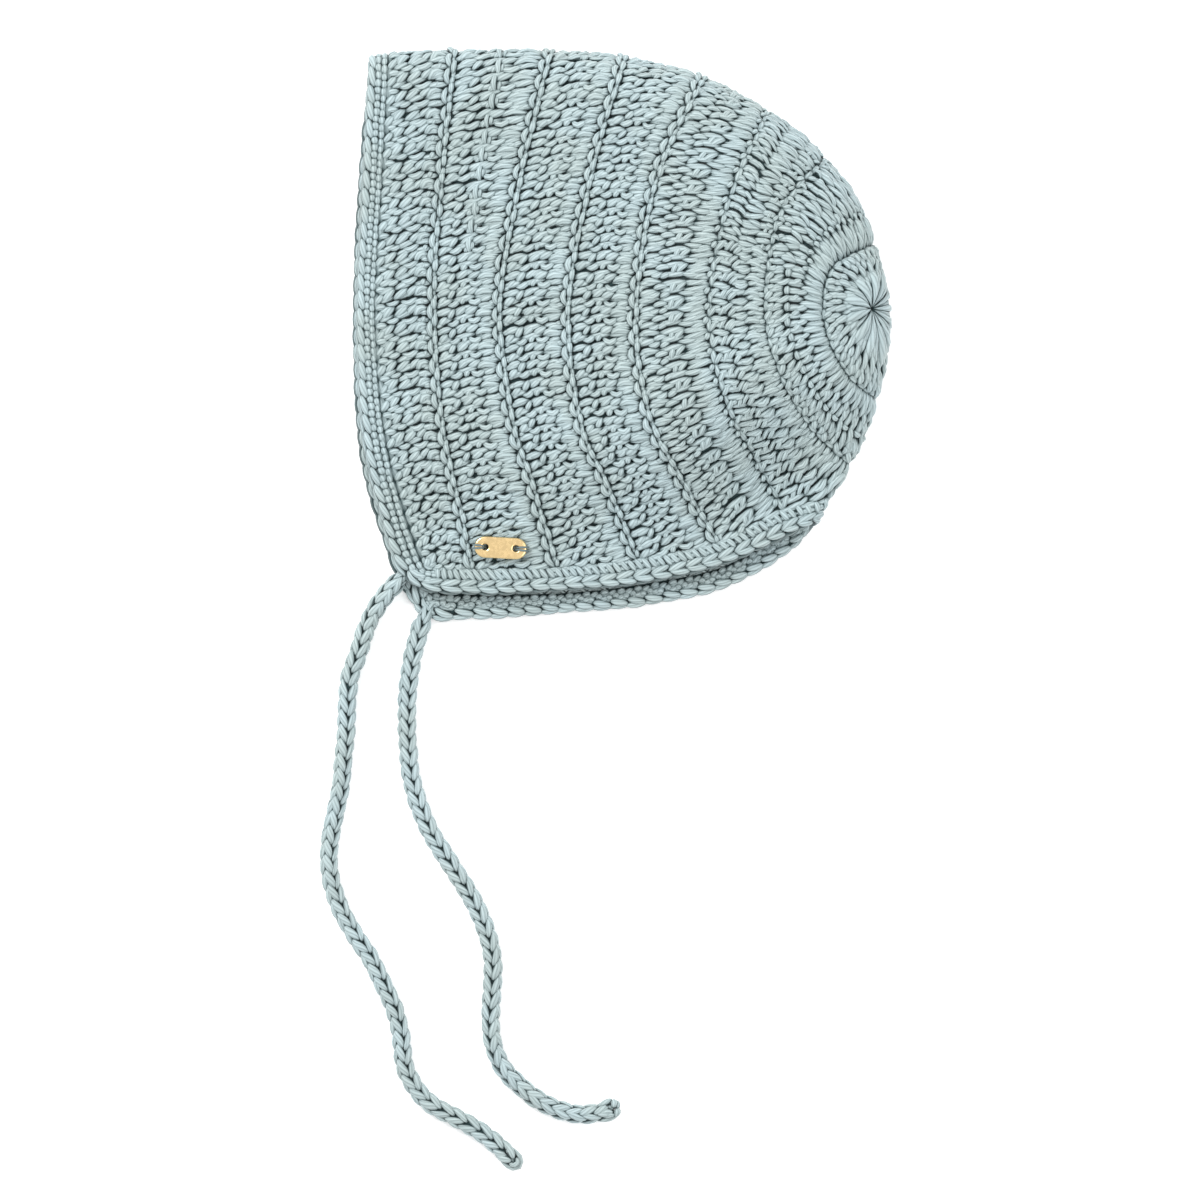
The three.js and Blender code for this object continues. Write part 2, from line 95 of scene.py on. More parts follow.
# Numbers of points on the lines that the shapes are measured from
TOP_POINTS = 43
BACK_POINTS = 16
DOWN_POINTS = 10
NECK_POINTS = 41

# Shape of the fold by share of its length: height of the crest and reach into each layer
FOLD_SHARE = [0, 0.3, 0.6, 0.78, 0.92, 1]
FOLD_HEIGHT = [6.1, 8.5, 12, 13, 8, 4.3]
FOLD_REACH = {UPPER: [4.5, 16, 32, 38, 18, 3.4], LOWER: [4.5, 10, 16, 16, 10, 3.4]}

# Routes of the two cords in plan, from the edging to their ends. The upper one comes down from
# the first heights, and the rest of both lies on the floor.
CORD_REST = CORD / 2 + 0.05
UPPER_ROUTE = [
    (-65.5, -72.4), (-69, -76.2), (-72.8, -81), (-75.9, -86.6), (-79.2, -96.2), (-81.7, -103.5),
    (-82.5, -112.5), (-82.8, -120), (-83.6, -127.5), (-84.3, -135), (-85.8, -142.5),
    (-87.3, -150), (-88, -157.2), (-87.3, -163.8), (-84.7, -171.9), (-80.2, -180.2),
    (-75.7, -186.9), (-72, -194.4), (-68.3, -202.5), (-66.4, -210), (-65.3, -219),
    (-62.3, -225.6), (-57.1, -231), (-50.4, -234.6), (-43.6, -238.4), (-37.7, -242.9),
    (-34.6, -245.8),
]
UPPER_HEIGHTS = [5.2, 5, 4.1, 3]
LOWER_ROUTE = [
    (-59.2, -85.2), (-60.8, -89.4), (-63, -97.7), (-64.2, -106.5), (-64.5, -115.5),
    (-64.2, -123.8), (-63.4, -132), (-61.5, -139.5), (-57.9, -148.5), (-53.4, -155.9),
    (-48.1, -164.1), (-44.4, -170.4), (-41.1, -177.9), (-38.8, -186.9), (-38.8, -195.9),
    (-39.3, -203.4), (-38.8, -211.5), (-36.2, -219), (-30.3, -225.6), (-22.8, -231),
    (-13.8, -233.9), (-7.2, -233.5), (-4.4, -232.9),
]

# Stitch charts, one strand a line: across and along at its start, its middle and its end, then
# its width and how high its middle stands. Across is in hundredths of the double row, and along
# is in hundredths of one stitch.
FIRST_ROW = [
    (-6, 80, 5, 88, 17, 84, 2.2, 0.85),
    (12, 12, 25, 4, 40, 26, 1.8, 1),
    (-8, 2, 2, 32, 11, 64, 2.3, 0.85),
    (7, 18, 18, 54, 31, 94, 2.2, 0.9),
    (27, 32, 41, 62, 56, 97, 2.15, 0.95),
    (40, 22, 56, 6, 73, 38, 2, 1.05),
    (52, 44, 62, 72, 76, 104, 2.2, 0.8),
    (66, 38, 78, 82, 95, 64, 2.3, 0.95),
    (79, -4, 82, 12, 85, 30, 1.7, 0.85),
    (77, 44, 85, 50, 94, 42, 1.8, 0.85),
]
RIDGE_ROW = [
    (7, 2, 14, 26, 22, 52, 2.4, 0.8),
    (18, 16, 29, 8, 41, 40, 2, 0.95),
    (22, 32, 28, 62, 34, 94, 2, 0.85),
    (7, 60, 18, 76, 31, 88, 2.3, 0.8),
    (34, 54, 42, 74, 53, 104, 2.1, 0.9),
    (44, 10, 46, 28, 50, 46, 1.8, 1),
    (51, 48, 62, 18, 76, 54, 2, 1),
    (47, 60, 58, 80, 70, 104, 2.3, 0.85),
    (62, 58, 76, 82, 95, 66, 2.2, 1.05),
    (69, 24, 80, 40, 93, 54, 2, 0.85),
    (68, 88, 80, 104, 93, 98, 2, 0.8),
    (79, 8, 87, 16, 94, 28, 1.8, 0.7),
    (5, -8, 10, 0, 15, 6, 1.6, 0.6),
]
WIDE_ROUND = [
    (5, 0, 8.5, 42, 21, 50, 1.7, 0.85),
    (13, 18, 22, 0, 33, 32, 1.8, 1),
    (29, 0, 36, 16, 43, 34, 1.9, 0.9),
    (4, 70, 17, 82, 33, 76, 2, 0.8),
    (22, 40, 33, 62, 46, 70, 1.9, 0.9),
    (44, 24, 47, 65, 51, 106, 1.8, 1),
    (48, 30, 55, 70, 65, 112, 1.8, 0.85),
    (52, 36, 68, 38, 83, 60, 1.8, 1),
    (59, 50, 76, 76, 97, 114, 1.9, 0.95),
    (63, 84, 79, 108, 94, 142, 1.8, 0.85),
    (68, 16, 78, 34, 93, 62, 1.8, 0.8),
    (90, 50, 94, 68, 96.5, 92, 1.8, 0.75),
]
ROUND_ROW = [
    (-3, 10, 5, 55, 13, 105, 1.7, 0.85),
    (-3, 62, 7, 72, 16, 100, 1.6, 0.75),
    (4, 0, 18, 15, 31, 55, 1.6, 1),
    (11, 25, 19, 90, 28, 155, 1.6, 0.9),
    (20, 50, 29, 115, 43, 175, 1.65, 0.85),
    (29, 62, 38, 116, 50, 162, 1.8, 0.95),
    (39, 98, 52, 80, 68, 102, 2, 0.95),
    (50, 130, 69, 150, 93, 102, 2.2, 1),
    (60, 66, 72, 58, 85, 68, 2, 0.85),
    (68, 116, 80, 100, 98, 74, 1.8, 0.85),
    (83, 140, 90, 122, 98, 134, 1.9, 0.8),
]
LAST_ROUND = [
    (-3, 5, 4, 32, 12, 62, 2, 0.85),
    (4, 4, 22, 6, 41, 56, 1.9, 1),
    (8, 18, 18, 42, 31, 70, 1.9, 0.85),
    (-3, 78, 6, 74, 14, 92, 1.9, 0.8),
    (10, 66, 20, 90, 33, 100, 1.9, 0.85),
    (36, 60, 35, 86, 37, 114, 1.9, 1.1),
    (41, 6, 53, -6, 72, 46, 1.9, 1),
    (41, 34, 49, 60, 57, 92, 2, 0.85),
    (55, 36, 73, 66, 96.5, 106, 2.3, 1.1),
    (62, 90, 79, 118, 96.5, 156, 2.1, 0.75),
]
# Rounds where they turn over at the top: long leaves that meet in small holes
WIDE_LEAVES = [
    (-3, 5, 6, 16, 17, 6, 2, 0.9),
    (-3, 55, 7, 66, 15, 95, 2, 0.85),
    (12, 22, 27, 36, 44, 44, 2, 0.85),
    (14, 72, 28, 84, 46, 76, 2, 0.9),
    (36, 4, 56, 16, 78, 42, 2.5, 1),
    (31, 42, 54, 50, 78, 52, 2.7, 1.1),
    (40, 86, 58, 80, 78, 62, 2.5, 0.95),
    (78, 2, 87, -8, 98, 2, 2.1, 0.9),
    (80, 20, 82, 46, 85, 76, 1.8, 1.05),
    (88, 34, 93, 58, 97, 88, 1.9, 0.85),
]
LEAVES = [
    (-3, 5, 5, 14, 14, 4, 2, 0.85),
    (-3, 55, 5, 68, 11, 92, 2, 0.8),
    (7, 24, 13, 40, 21, 48, 2.1, 0.85),
    (10, 86, 16, 96, 24, 98, 2.1, 0.85),
    (18, 6, 32, 14, 47.5, 42, 2.6, 1),
    (14, 44, 30, 50, 47.5, 52, 2.8, 1.1),
    (20, 86, 33, 80, 47.5, 62, 2.6, 0.95),
]
CROWN_ROUND = [
    (-2, -2, 7, 3, 17, -2, 2.1, 0.8),
    (-2, 34, 6, 50, 15, 62, 2.1, 0.85),
    (13, 16, 22, 30, 31, 36, 2, 0.85),
    (12, 66, 27, 82, 46, 96, 2.1, 0.95),
]
PETALS = [
    (27, 20, 60, 24, 98.5, 25, 5, 1.1),
    (34, 70, 62, 73, 93, 75, 3.3, 0.9),
]
CHAIN = [
    (100, -2, 93.5, 46, 97.5, 104, 1.85, 1.6),
    (99, 60, 101.5, 95, 100.5, 136, 1.8, 1.45),
    (98.5, 2, 101, 26, 101.5, 52, 1.6, 1.15),
]
MIDDLE_CHAIN = [
    (50, 110, 48.5, 60, 51, -2, 1.75, 1.6),
    (53, 75, 54, 45, 53, 15, 1.4, 1.3),
]
# Yarn that runs under the others and closes most of the gaps between them
UNDER = [
    (-2, 0, 15, 20, 32, 40, 2.5, 0.4),
    (-2, 50, 15, 70, 32, 90, 2.5, 0.4),
    (28, 25, 47, 45, 66, 65, 2.5, 0.4),
    (28, 75, 47, 95, 66, 115, 2.5, 0.4),
    (60, 0, 80, 10, 100, 15, 2.5, 0.4),
    (60, 50, 80, 60, 100, 65, 2.5, 0.4),
    (99, -10, 100, 50, 99, 110, 2.2, 0.2),
]


def smooth(knots, values, at):
    """Cubic through the values at the knots, its slopes taken from the neighbouring values."""
    knots = np.asarray(knots, float)
    values = np.asarray(values, float)
    at = np.atleast_1d(np.asarray(at, float))
    last = len(knots) - 1
    i = np.searchsorted(knots[1:last], at, side="left")
    after = np.minimum(np.arange(last + 1) + 1, last)
    before = np.maximum(np.arange(last + 1) - 1, 0)
    shape = (-1,) + (1,) * (values.ndim - 1)
    slope = (values[after] - values[before]) / (knots[after] - knots[before]).reshape(shape)
    span = (knots[i + 1] - knots[i]).reshape(shape)
    t = ((at - knots[i]) / (knots[i + 1] - knots[i])).reshape(shape)
    rise = 3 * t**2 - 2 * t**3
    pull = slope[i] * t * (1 - t) ** 2 - slope[i + 1] * t**2 * (1 - t)
    return values[i] + (values[i + 1] - values[i]) * rise + pull * span


def ease_in(share):
    t = np.clip(share, 0, 1)
    return t * t * (3 - 2 * t)


def unit(vectors):
    return vectors / np.maximum(np.linalg.norm(vectors, axis=-1, keepdims=True), 1e-12)


def run_along(points, axis=0):
    """Length of a path up to each of its points."""
    steps = np.linalg.norm(np.diff(points, axis=axis), axis=-1)
    return np.insert(np.cumsum(steps, axis), 0, 0, axis)


def read_along(values, run, at):
    """Values of a path at lengths along it."""
    return np.stack([np.interp(at, run, values[:, axis]) for axis in range(3)], -1)


def eased(first, last, count):
    """Places from first to last, closer together towards both."""
    return first + (last - first) * (1 - np.cos(np.linspace(0, math.pi, count + 1))) / 2


ROWS, ROW_DROP, ROW_UNDER, ROW_X, ROW_Y = map(np.array, zip(*ROW_LINES))


def row_points(rows, stations, side):
    """Places in plan of a grid of rows and stations, on either layer."""
    rows = np.atleast_1d(rows)
    stations = np.atleast_1d(stations)
    x = smooth(ROWS, smooth(STATIONS, ROW_X.T, stations).T, rows)
    y = smooth(ROWS, smooth(STATIONS, ROW_Y.T, stations).T, rows)
    if side == LOWER:
        under = smooth(ROWS, ROW_UNDER, rows)[:, None]
        x = x + under * np.sin(math.pi * stations / STATIONS[-1])[None, :]
        drop = smooth(ROWS, ROW_DROP, rows)[:, None] * smooth(STATIONS, DROP_SHARE, stations)
        drop = np.where(rows[:, None] < NAPE_ROW, drop, 0)
        x = x + DROP_LEAN * drop
        y = y - drop
    return x, y


def edge_points(places, side):
    xs, ys = EDGE[side]
    return np.stack([smooth(EDGE_PLACE, xs, places), smooth(EDGE_PLACE, ys, places)], -1)


def upper_line(rows, station):
    return np.stack([grid[:, 0] for grid in row_points(rows, [station], UPPER)], -1)


def fold_line():
    """The crest of the fold in plan, from the front corner over the top and down the back."""
    top = upper_line(np.linspace(0, CAP_ROW, TOP_POINTS), STATIONS[-1])
    down = upper_line(np.linspace(CAP_ROW, NAPE_ROW, DOWN_POINTS), 0)
    knots = np.arange(len(BACK_FOLD_X) + 2)
    at = np.linspace(0, knots[-1], BACK_POINTS)[1:-1]
    back_x = smooth(knots, [top[-1, 0], *BACK_FOLD_X, down[0, 0]], at)
    back_y = smooth(knots, [top[-1, 1], *BACK_FOLD_Y, down[0, 1]], at)
    first = edge_points(EDGE_PLACE[0], UPPER)
    last = edge_points(NAPE_ROW, UPPER)
    return np.concatenate([first, top, np.stack([back_x, back_y], -1), down, last])


FOLD_LINE = fold_line()
NECK_LINE = edge_points(np.linspace(0, NAPE_ROW, NECK_POINTS), UPPER)


def nearest(line, x, y):
    """Distance from points to a line, and the share of the line's length up to there."""
    start = line[:-1]
    along = line[1:] - start
    long = np.hypot(along[:, 0], along[:, 1])
    run = np.concatenate([[0], np.cumsum(long)])
    dx = x[..., None] - start[:, 0]
    dy = y[..., None] - start[:, 1]
    at = np.clip((dx * along[:, 0] + dy * along[:, 1]) / np.maximum(long**2, 1e-12), 0, 1)
    away = np.hypot(dx - along[:, 0] * at, dy - along[:, 1] * at)
    best = np.argmin(away, -1)[..., None]
    pick = np.take_along_axis
    share = (run[:-1][best[..., 0]] + pick(at, best, -1)[..., 0] * long[best[..., 0]]) / run[-1]
    return pick(away, best, -1)[..., 0], share


def upper_level(x, y):
    """Height of the upper layer's middle, away from the folds."""
    rise = ease_in((x - RISE_START) / (RISE_END - RISE_START))
    along = FRONT_LEVEL + (CROWN_LEVEL - FRONT_LEVEL) * rise
    inward = ease_in((nearest(NECK_LINE, x, y)[0] - BAND) / NECK_RUN)
    return NECK_LEVEL + (along - NECK_LEVEL) * inward


def middle(x, y, side):
    """Middle of the wall above points of the plan, elliptical where the layers turn over."""
    away, share = nearest(FOLD_LINE, x, y)
    shape = share.shape
    crest = smooth(FOLD_SHARE, FOLD_HEIGHT, share.ravel()).reshape(shape)
    reach = smooth(FOLD_SHARE, FOLD_REACH[side], share.ravel()).reshape(shape)
    level = upper_level(x, y) if side == UPPER else np.full(shape, WALL / 2)
    short = 1 - np.minimum(away / reach, 1)
    return np.stack([x, y, crest + (level - crest) * np.sqrt(np.maximum(1 - short**2, 0))], -1)


# The crown is worked out as if its two layers were one sheet, unrolled from the back fold
WRAP = 15.0
BACK_START = 70
BACK_LINE = FOLD_LINE[FOLD_LINE[:, 0] > BACK_START]
BACK_LINE = BACK_LINE[np.argsort(BACK_LINE[:, 1])]


def back_fold_x(y):
    return np.interp(y, BACK_LINE[:, 1], BACK_LINE[:, 0])


def wrap_of(x, y, side):
    inset = np.maximum(back_fold_x(y) - x, 0)
    return side * (inset + np.sqrt(inset**2 + 4 * WRAP * inset)) / 2


def unwrap(wrap, y):
    inset = wrap**2 / (np.abs(wrap) + WRAP)
    x = back_fold_x(y) - inset
    return np.where((wrap >= 0)[..., None], middle(x, y, UPPER), middle(x, y, LOWER))


class Surface:
    """The middle of the wall by row and by share of the row's length, with its outward side."""

    ROW_STEP = 1 / 16
    ROW_LIMITS = (-0.1, 7.995)
    COLUMNS = 360
    LAYER_STEPS = 110
    SMOOTHINGS = 3

    def __init__(self):
        self.rows = np.arange(0, STAR_ROW + 1e-9, self.ROW_STEP)
        shares = np.linspace(0, 1, self.COLUMNS + 1)
        body_rows = self.rows[self.rows <= CAP_ROW]
        path, wrap = self.rounds(body_rows)
        run = run_along(path, 1)
        self.length = dict(zip(body_rows, run[:, -1]))
        points = [read_along(line, at, shares * at[-1]) for line, at in zip(path, run)]
        rim_y = points[-1][:, 1]
        rim_wrap = np.interp(shares * run[-1, -1], run[-1], wrap[-1])
        star_wrap = wrap_of(np.array(STAR[0]), np.array(STAR[1]), UPPER)
        for row in self.rows[self.rows > CAP_ROW]:
            share = STAR_ROW - row
            wraps_here = star_wrap + (rim_wrap - star_wrap) * share
            points.append(unwrap(wraps_here, STAR[1] + (rim_y - STAR[1]) * share))
        self.points = self.evened(np.array(points), len(body_rows) - 1)
        self.normals = self.find_normals()

    def rounds(self, rows):
        """The way of each row over the upper layer and back over the lower one."""
        layers = []
        wraps = []
        for side, first, last in ((UPPER, 0, STATIONS[-1]), (LOWER, STATIONS[-1], 0)):
            stations = eased(first, last, self.LAYER_STEPS)
            if side == LOWER:
                stations = stations[1:]
            x, y = row_points(rows, stations, side)
            layers.append(middle(x, y, side))
            wraps.append(wrap_of(x, y, side))
        return np.concatenate(layers, 1), np.concatenate(wraps, 1)

    def evened(self, points, last):
        """Points with small steps between neighbouring rows smoothed out."""
        for _ in range(self.SMOOTHINGS):
            inner = (points[:last - 1] + 2 * points[1:last] + points[2:last + 1]) / 4
            points[1:last] = inner
        return points

    def find_normals(self):
        p = self.points
        across = np.gradient(p, axis=0)
        across[-1] = across[-2]
        along = np.gradient(p, axis=1)
        closed = self.rows >= NAPE_ROW
        ends = p[closed, 1] - p[closed, -2]
        along[closed, 0] = ends
        along[closed, -1] = ends
        return unit(np.cross(across, along))

    def at(self, row, share):
        """Points and outward directions at rows and shares, taken from the grid."""
        row = np.clip(row, *self.ROW_LIMITS)
        share = np.where(row >= NAPE_ROW, share % 1.0, np.clip(share, 0, 1))
        i = row / self.ROW_STEP
        j = share * self.COLUMNS
        i0 = np.clip(i.astype(int), 0, len(self.rows) - 2)
        j0 = np.minimum(j.astype(int), self.COLUMNS - 1)
        a = (i - i0)[..., None]
        b = (j - j0)[..., None]
        found = []
        for grid in (self.points, self.normals):
            near = grid[i0, j0] * (1 - b) + grid[i0, j0 + 1] * b
            far = grid[i0 + 1, j0] * (1 - b) + grid[i0 + 1, j0 + 1] * b
            found.append(near * (1 - a) + far * a)
        return found[0], unit(found[1])


class EdgeBand:
    """The band round the face and the neck: (out, along) from its seam to its outer rim."""

    STEPS = 90

    def __init__(self):
        front = eased(EDGE_PLACE[0], 0, self.STEPS)[:-1]
        places = np.concatenate([front, eased(0, NAPE_ROW, self.STEPS)])
        parts = []
        for side, run in ((UPPER, places[:-1]), (LOWER, places[:0:-1])):
            hem = np.array([self.hem_at(place, side) for place in run])
            rim = edge_points(run, side)
            lines = [middle(*line.T, side) for line in (hem, rim)]
            parts.append([*lines, run, np.full(len(run), float(side))])
        parts.append([values[:1] for values in parts[0]])
        self.hem, self.rim, self.place, self.side = map(np.concatenate, zip(*parts))
        centre = (self.hem + self.rim) / 2
        self.run = run_along(centre)
        self.length = self.run[-1]
        along = np.gradient(centre, axis=0)
        along[0] = along[-1] = centre[1] - centre[-2]
        self.up = unit(np.cross(unit(self.rim - self.hem), unit(along)))

    @staticmethod
    def hem_at(place, side):
        return np.ravel(row_points(max(place, 0), max(-place, 0), side))

    def read(self, values, at):
        at = np.asarray(at) % self.length
        if values.ndim == 1:
            return np.interp(at, self.run, values)
        return read_along(values, self.run, at)

    def at(self, out, along):
        hem = self.read(self.hem, along)
        rim = self.read(self.rim, along)
        up = unit(self.read(self.up, along))
        return hem + (rim - hem) * np.asarray(out)[..., None], up


class Cord:
    """A round cord along a route: (turn, along) on a ring round its middle line."""

    CURVE_POINTS = 800
    STEP = 1.0

    def __init__(self, route):
        points = np.array(route, float)
        chord = run_along(points)
        curve = smooth(chord, points, np.linspace(0, chord[-1], self.CURVE_POINTS))
        run = run_along(curve)
        self.length = run[-1]
        self.run = np.linspace(0, self.length, int(round(self.length / self.STEP)) + 1)
        self.centre = read_along(curve, run, self.run)
        self.ahead = unit(np.gradient(self.centre, axis=0))
        self.side = unit(np.cross(self.ahead, np.array([0.0, 0.0, 1.0])))
        self.up = np.cross(self.side, self.ahead)

    def at(self, turn, along):
        centre, side, up = (
            read_along(values, self.run, along) for values in (self.centre, self.side, self.up)
        )
        turn = np.asarray(turn)[..., None]
        return centre, unit(np.cos(turn) * side + np.sin(turn) * up)


# The two kinds of strand: shares of its length where its rings are, and its section's corners
# in degrees. Fine ones show. Plain ones are beneath them and under the bonnet.
FINE = (
    np.array([0, 0.04, 0.13, 0.3, 0.5, 0.7, 0.87, 0.96, 1]),
    np.array([0, 36, 72, 108, 144, 180, 270]),
)
PLAIN = (
    np.array([0, 0.08, 0.28, 0.5, 0.72, 0.92, 1]),
    np.array([0, 60, 120, 180, 270]),
)
END_POWER = 2.1
END_DIP = -0.45
BEND_POWER = 0.7
FLAT = 0.92
FLOOR_GAP = 0.03
CORE_GAP = 0.05


def bend(at):
    """How far a strand has risen at shares of its length: low at its ends, high between."""
    return np.sin(math.pi * at) ** BEND_POWER


class Strands:
    """Closed tubes of yarn, gathered into one mesh."""

    def __init__(self):
        self.points = []
        self.faces = []
        self.uv = []
        self.shade = []
        self.depth = []
        self.count = 0

    def add(self, centre, normal, width, height, kind=FINE, flat=FLAT, lift=0.0):
        """Tubes whose middles are centre (strands, rings, 3), raised by height along normal."""
        at, degrees = kind
        turn = np.radians(degrees)
        strands = len(centre)
        centre = centre + normal * height[..., None]
        ahead = unit(np.gradient(centre, axis=1))
        side = unit(np.cross(normal, ahead))
        up = np.cross(ahead, side)
        round_end = np.maximum(1 - np.abs(2 * at - 1) ** END_POWER, 0) ** (1 / END_POWER)
        size = (width.reshape(strands, -1) / 2 * round_end)[:, 1:-1, None]
        high = flat * np.sin(turn)
        out = np.cos(turn)[:, None] * side[:, 1:-1, None] + high[:, None] * up[:, 1:-1, None]
        tube = (centre[:, 1:-1, None] + size[..., None] * out).reshape(strands, -1, 3)
        level = (height[:, 1:-1, None] + size * high).reshape(strands, -1)
        points = np.concatenate([centre[:, :1], tube, centre[:, -1:]], 1)
        # Depth is the strand's height above the wall's middle, read by the yarn's painted shade.
        # The shift makes that painted shade lighter or darker without moving the strand.
        depth = np.concatenate([height[:, :1], level, height[:, -1:]], 1) + lift
        corners = self.corners(len(at) - 2, degrees)
        per = points.shape[1]
        index = corners[..., 0].astype(int) + (np.arange(strands) * per)[:, None, None]
        along = run_along(centre, 1)[:, corners[..., 1].astype(int)]
        round_share = np.broadcast_to(corners[..., 2] / 360, along.shape)
        self.points.append(points.reshape(-1, 3))
        self.faces.append(index.reshape(-1, 3) + self.count)
        self.uv.append(np.stack([round_share, along], -1).reshape(-1, 2))
        self.depth.append(depth.ravel())
        self.shade.append(np.repeat(CHANCE.uniform(-1, 1, strands), per))
        self.count += strands * per

    @staticmethod
    def corners(rings, degrees):
        """Triangles of one strand: each corner's point, ring and degrees round the section."""
        sides = len(degrees)
        last = 1 + rings * sides
        turns = [*degrees, 360]

        def corner(ring, side):
            point = min(1 + (ring - 1) * sides + side % sides, last) if ring else 0
            return point, ring, turns[side]

        corners = []
        for side in range(sides):
            after = side + 1
            corners.append([corner(0, side), corner(1, after), corner(1, side)])
            for ring in range(1, rings):
                start, across = corner(ring, side), corner(ring + 1, after)
                corners.append([start, corner(ring, after), across])
                corners.append([start, across, corner(ring + 1, side)])
            corners.append([corner(rings, side), corner(rings, after), corner(rings + 1, side)])
        return np.array(corners, float)

    def build(self, name):
        fields = {"shade": np.concatenate(self.shade), "depth": np.concatenate(self.depth)}
        points, faces, uv = map(np.concatenate, (self.points, self.faces, self.uv))
        return make_mesh(name, points, faces, uv, fields, gap=FLOOR_GAP)


def show(name, data):
    """A new object in the scene."""
    made = bpy.data.objects.new(name, data)
    bpy.context.scene.collection.objects.link(made)
    return made


def make_mesh(name, points, faces, uv=None, fields=None, tints=None, gap=CORE_GAP):
    """An object from points in millimetres and triangles, smooth all over and above the floor."""
    points[:, 2] = np.maximum(points[:, 2], gap)
    mesh = bpy.data.meshes.new(name)
    mesh.vertices.add(len(points))
    mesh.vertices.foreach_set("co", (points * MM).astype(np.float32).ravel())
    mesh.loops.add(faces.size)
    mesh.loops.foreach_set("vertex_index", faces.astype(np.int32).ravel())
    mesh.polygons.add(len(faces))
    mesh.polygons.foreach_set("loop_start", np.arange(0, faces.size, 3, dtype=np.int32))
    mesh.polygons.foreach_set("use_smooth", np.ones(len(faces), dtype=bool))
    if tints is not None:
        mesh.polygons.foreach_set("material_index", tints.astype(np.int32))
    if uv is not None:
        layer = mesh.uv_layers.new(name="yarn")
        layer.data.foreach_set("uv", uv.astype(np.float32).ravel())
    for field, values in (fields or {}).items():
        layer = mesh.attributes.new(field, "FLOAT", "POINT")
        layer.data.foreach_set("value", values.astype(np.float32))
    mesh.update()
    mesh.validate()
    return show(name, mesh)


def finish_piece(piece, materials, nodes=()):
    for material in materials:
        piece.data.materials.append(material)
    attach(piece, "root")
    if nodes:
        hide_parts(*nodes)
    return piece


class Nodes:
    """One new material, and short ways to add and join its nodes."""

    def __init__(self, name, colour, roughness):
        self.material = bpy.data.materials.new(name)
        self.material.use_nodes = True
        self.tree = self.material.node_tree
        self.shader = self.tree.nodes["Principled BSDF"]
        self.fill(self.shader, {"Base Color": colour, "Roughness": roughness})

    def fill(self, node, inputs):
        """Gives each input another node's output, a colour or a number."""
        for key, value in inputs.items():
            if isinstance(value, bpy.types.NodeSocket):
                self.tree.links.new(value, node.inputs[key])
            elif isinstance(value, tuple):
                node.inputs[key].default_value = (*value, 1)
            else:
                node.inputs[key].default_value = value

    def add(self, kind, inputs, **settings):
        node = self.tree.nodes.new(kind)
        for key, value in settings.items():
            setattr(node, key, value)
        self.fill(node, inputs)
        return node

    def math(self, operation, *values):
        return self.add("ShaderNodeMath", dict(enumerate(values)), operation=operation).outputs[0]

    def ramp(self, value, low, high, first=0.0, last=1.0):
        inputs = dict(zip(("Value", "From Min", "From Max", "To Min", "To Max"),
                          (value, low, high, first, last)))
        node = self.add("ShaderNodeMapRange", inputs, interpolation_type="SMOOTHSTEP")
        return node.outputs["Result"]

    def mix(self, share, first, second):
        inputs = {0: share, 6: first, 7: second}
        return self.add("ShaderNodeMix", inputs, data_type="RGBA").outputs[2]

    def noise(self, scale, detail=2):
        place = self.add("ShaderNodeTexCoord", {}).outputs["Object"]
        inputs = {"Vector": place, "Scale": scale, "Detail": detail}
        return self.add("ShaderNodeTexNoise", inputs).outputs["Fac"]

    def field(self, name):
        return self.add("ShaderNodeAttribute", {}, attribute_name=name).outputs["Fac"]

    def strand_place(self):
        """Share of the way round a strand, and millimetres along it."""
        uv = self.add("ShaderNodeUVMap", {}, uv_map="yarn").outputs["UV"]
        split = self.add("ShaderNodeSeparateXYZ", {"Vector": uv})
        return split.outputs["X"], split.outputs["Y"]

    def bump(self, height, strength, distance):
        node = self.add(
            "ShaderNodeBump", {"Height": height, "Strength": strength, "Distance": distance})
        self.fill(self.shader, {"Normal": node.outputs["Normal"]})

    def finished(self, inputs):
        self.fill(self.shader, inputs)
        return self.material


YARN_LIGHT = (0.478, 0.578, 0.578)
YARN_COOL = (0.459, 0.573, 0.597)
# Near-black painted shade: the dark that the yarn's colour turns to where shade falls, and the
# colour of the backing and cores between the strands.
YARN_PAINTED_SHADE = (0.016, 0.044, 0.047)
GOLD_COLOUR = (1.0, 0.74, 0.38)
FLOOR_COLOUR = (0.93, 0.93, 0.93)
FULL_TURN = 2 * math.pi
PLIES = 6
PLY_LEAN = 0.03
PLY_SHIFT = 0.37
# Reach of the ambient-occlusion darkening, which paints shade in creases and where strands touch.
CREASE_SHADE_REACH = 0.0011


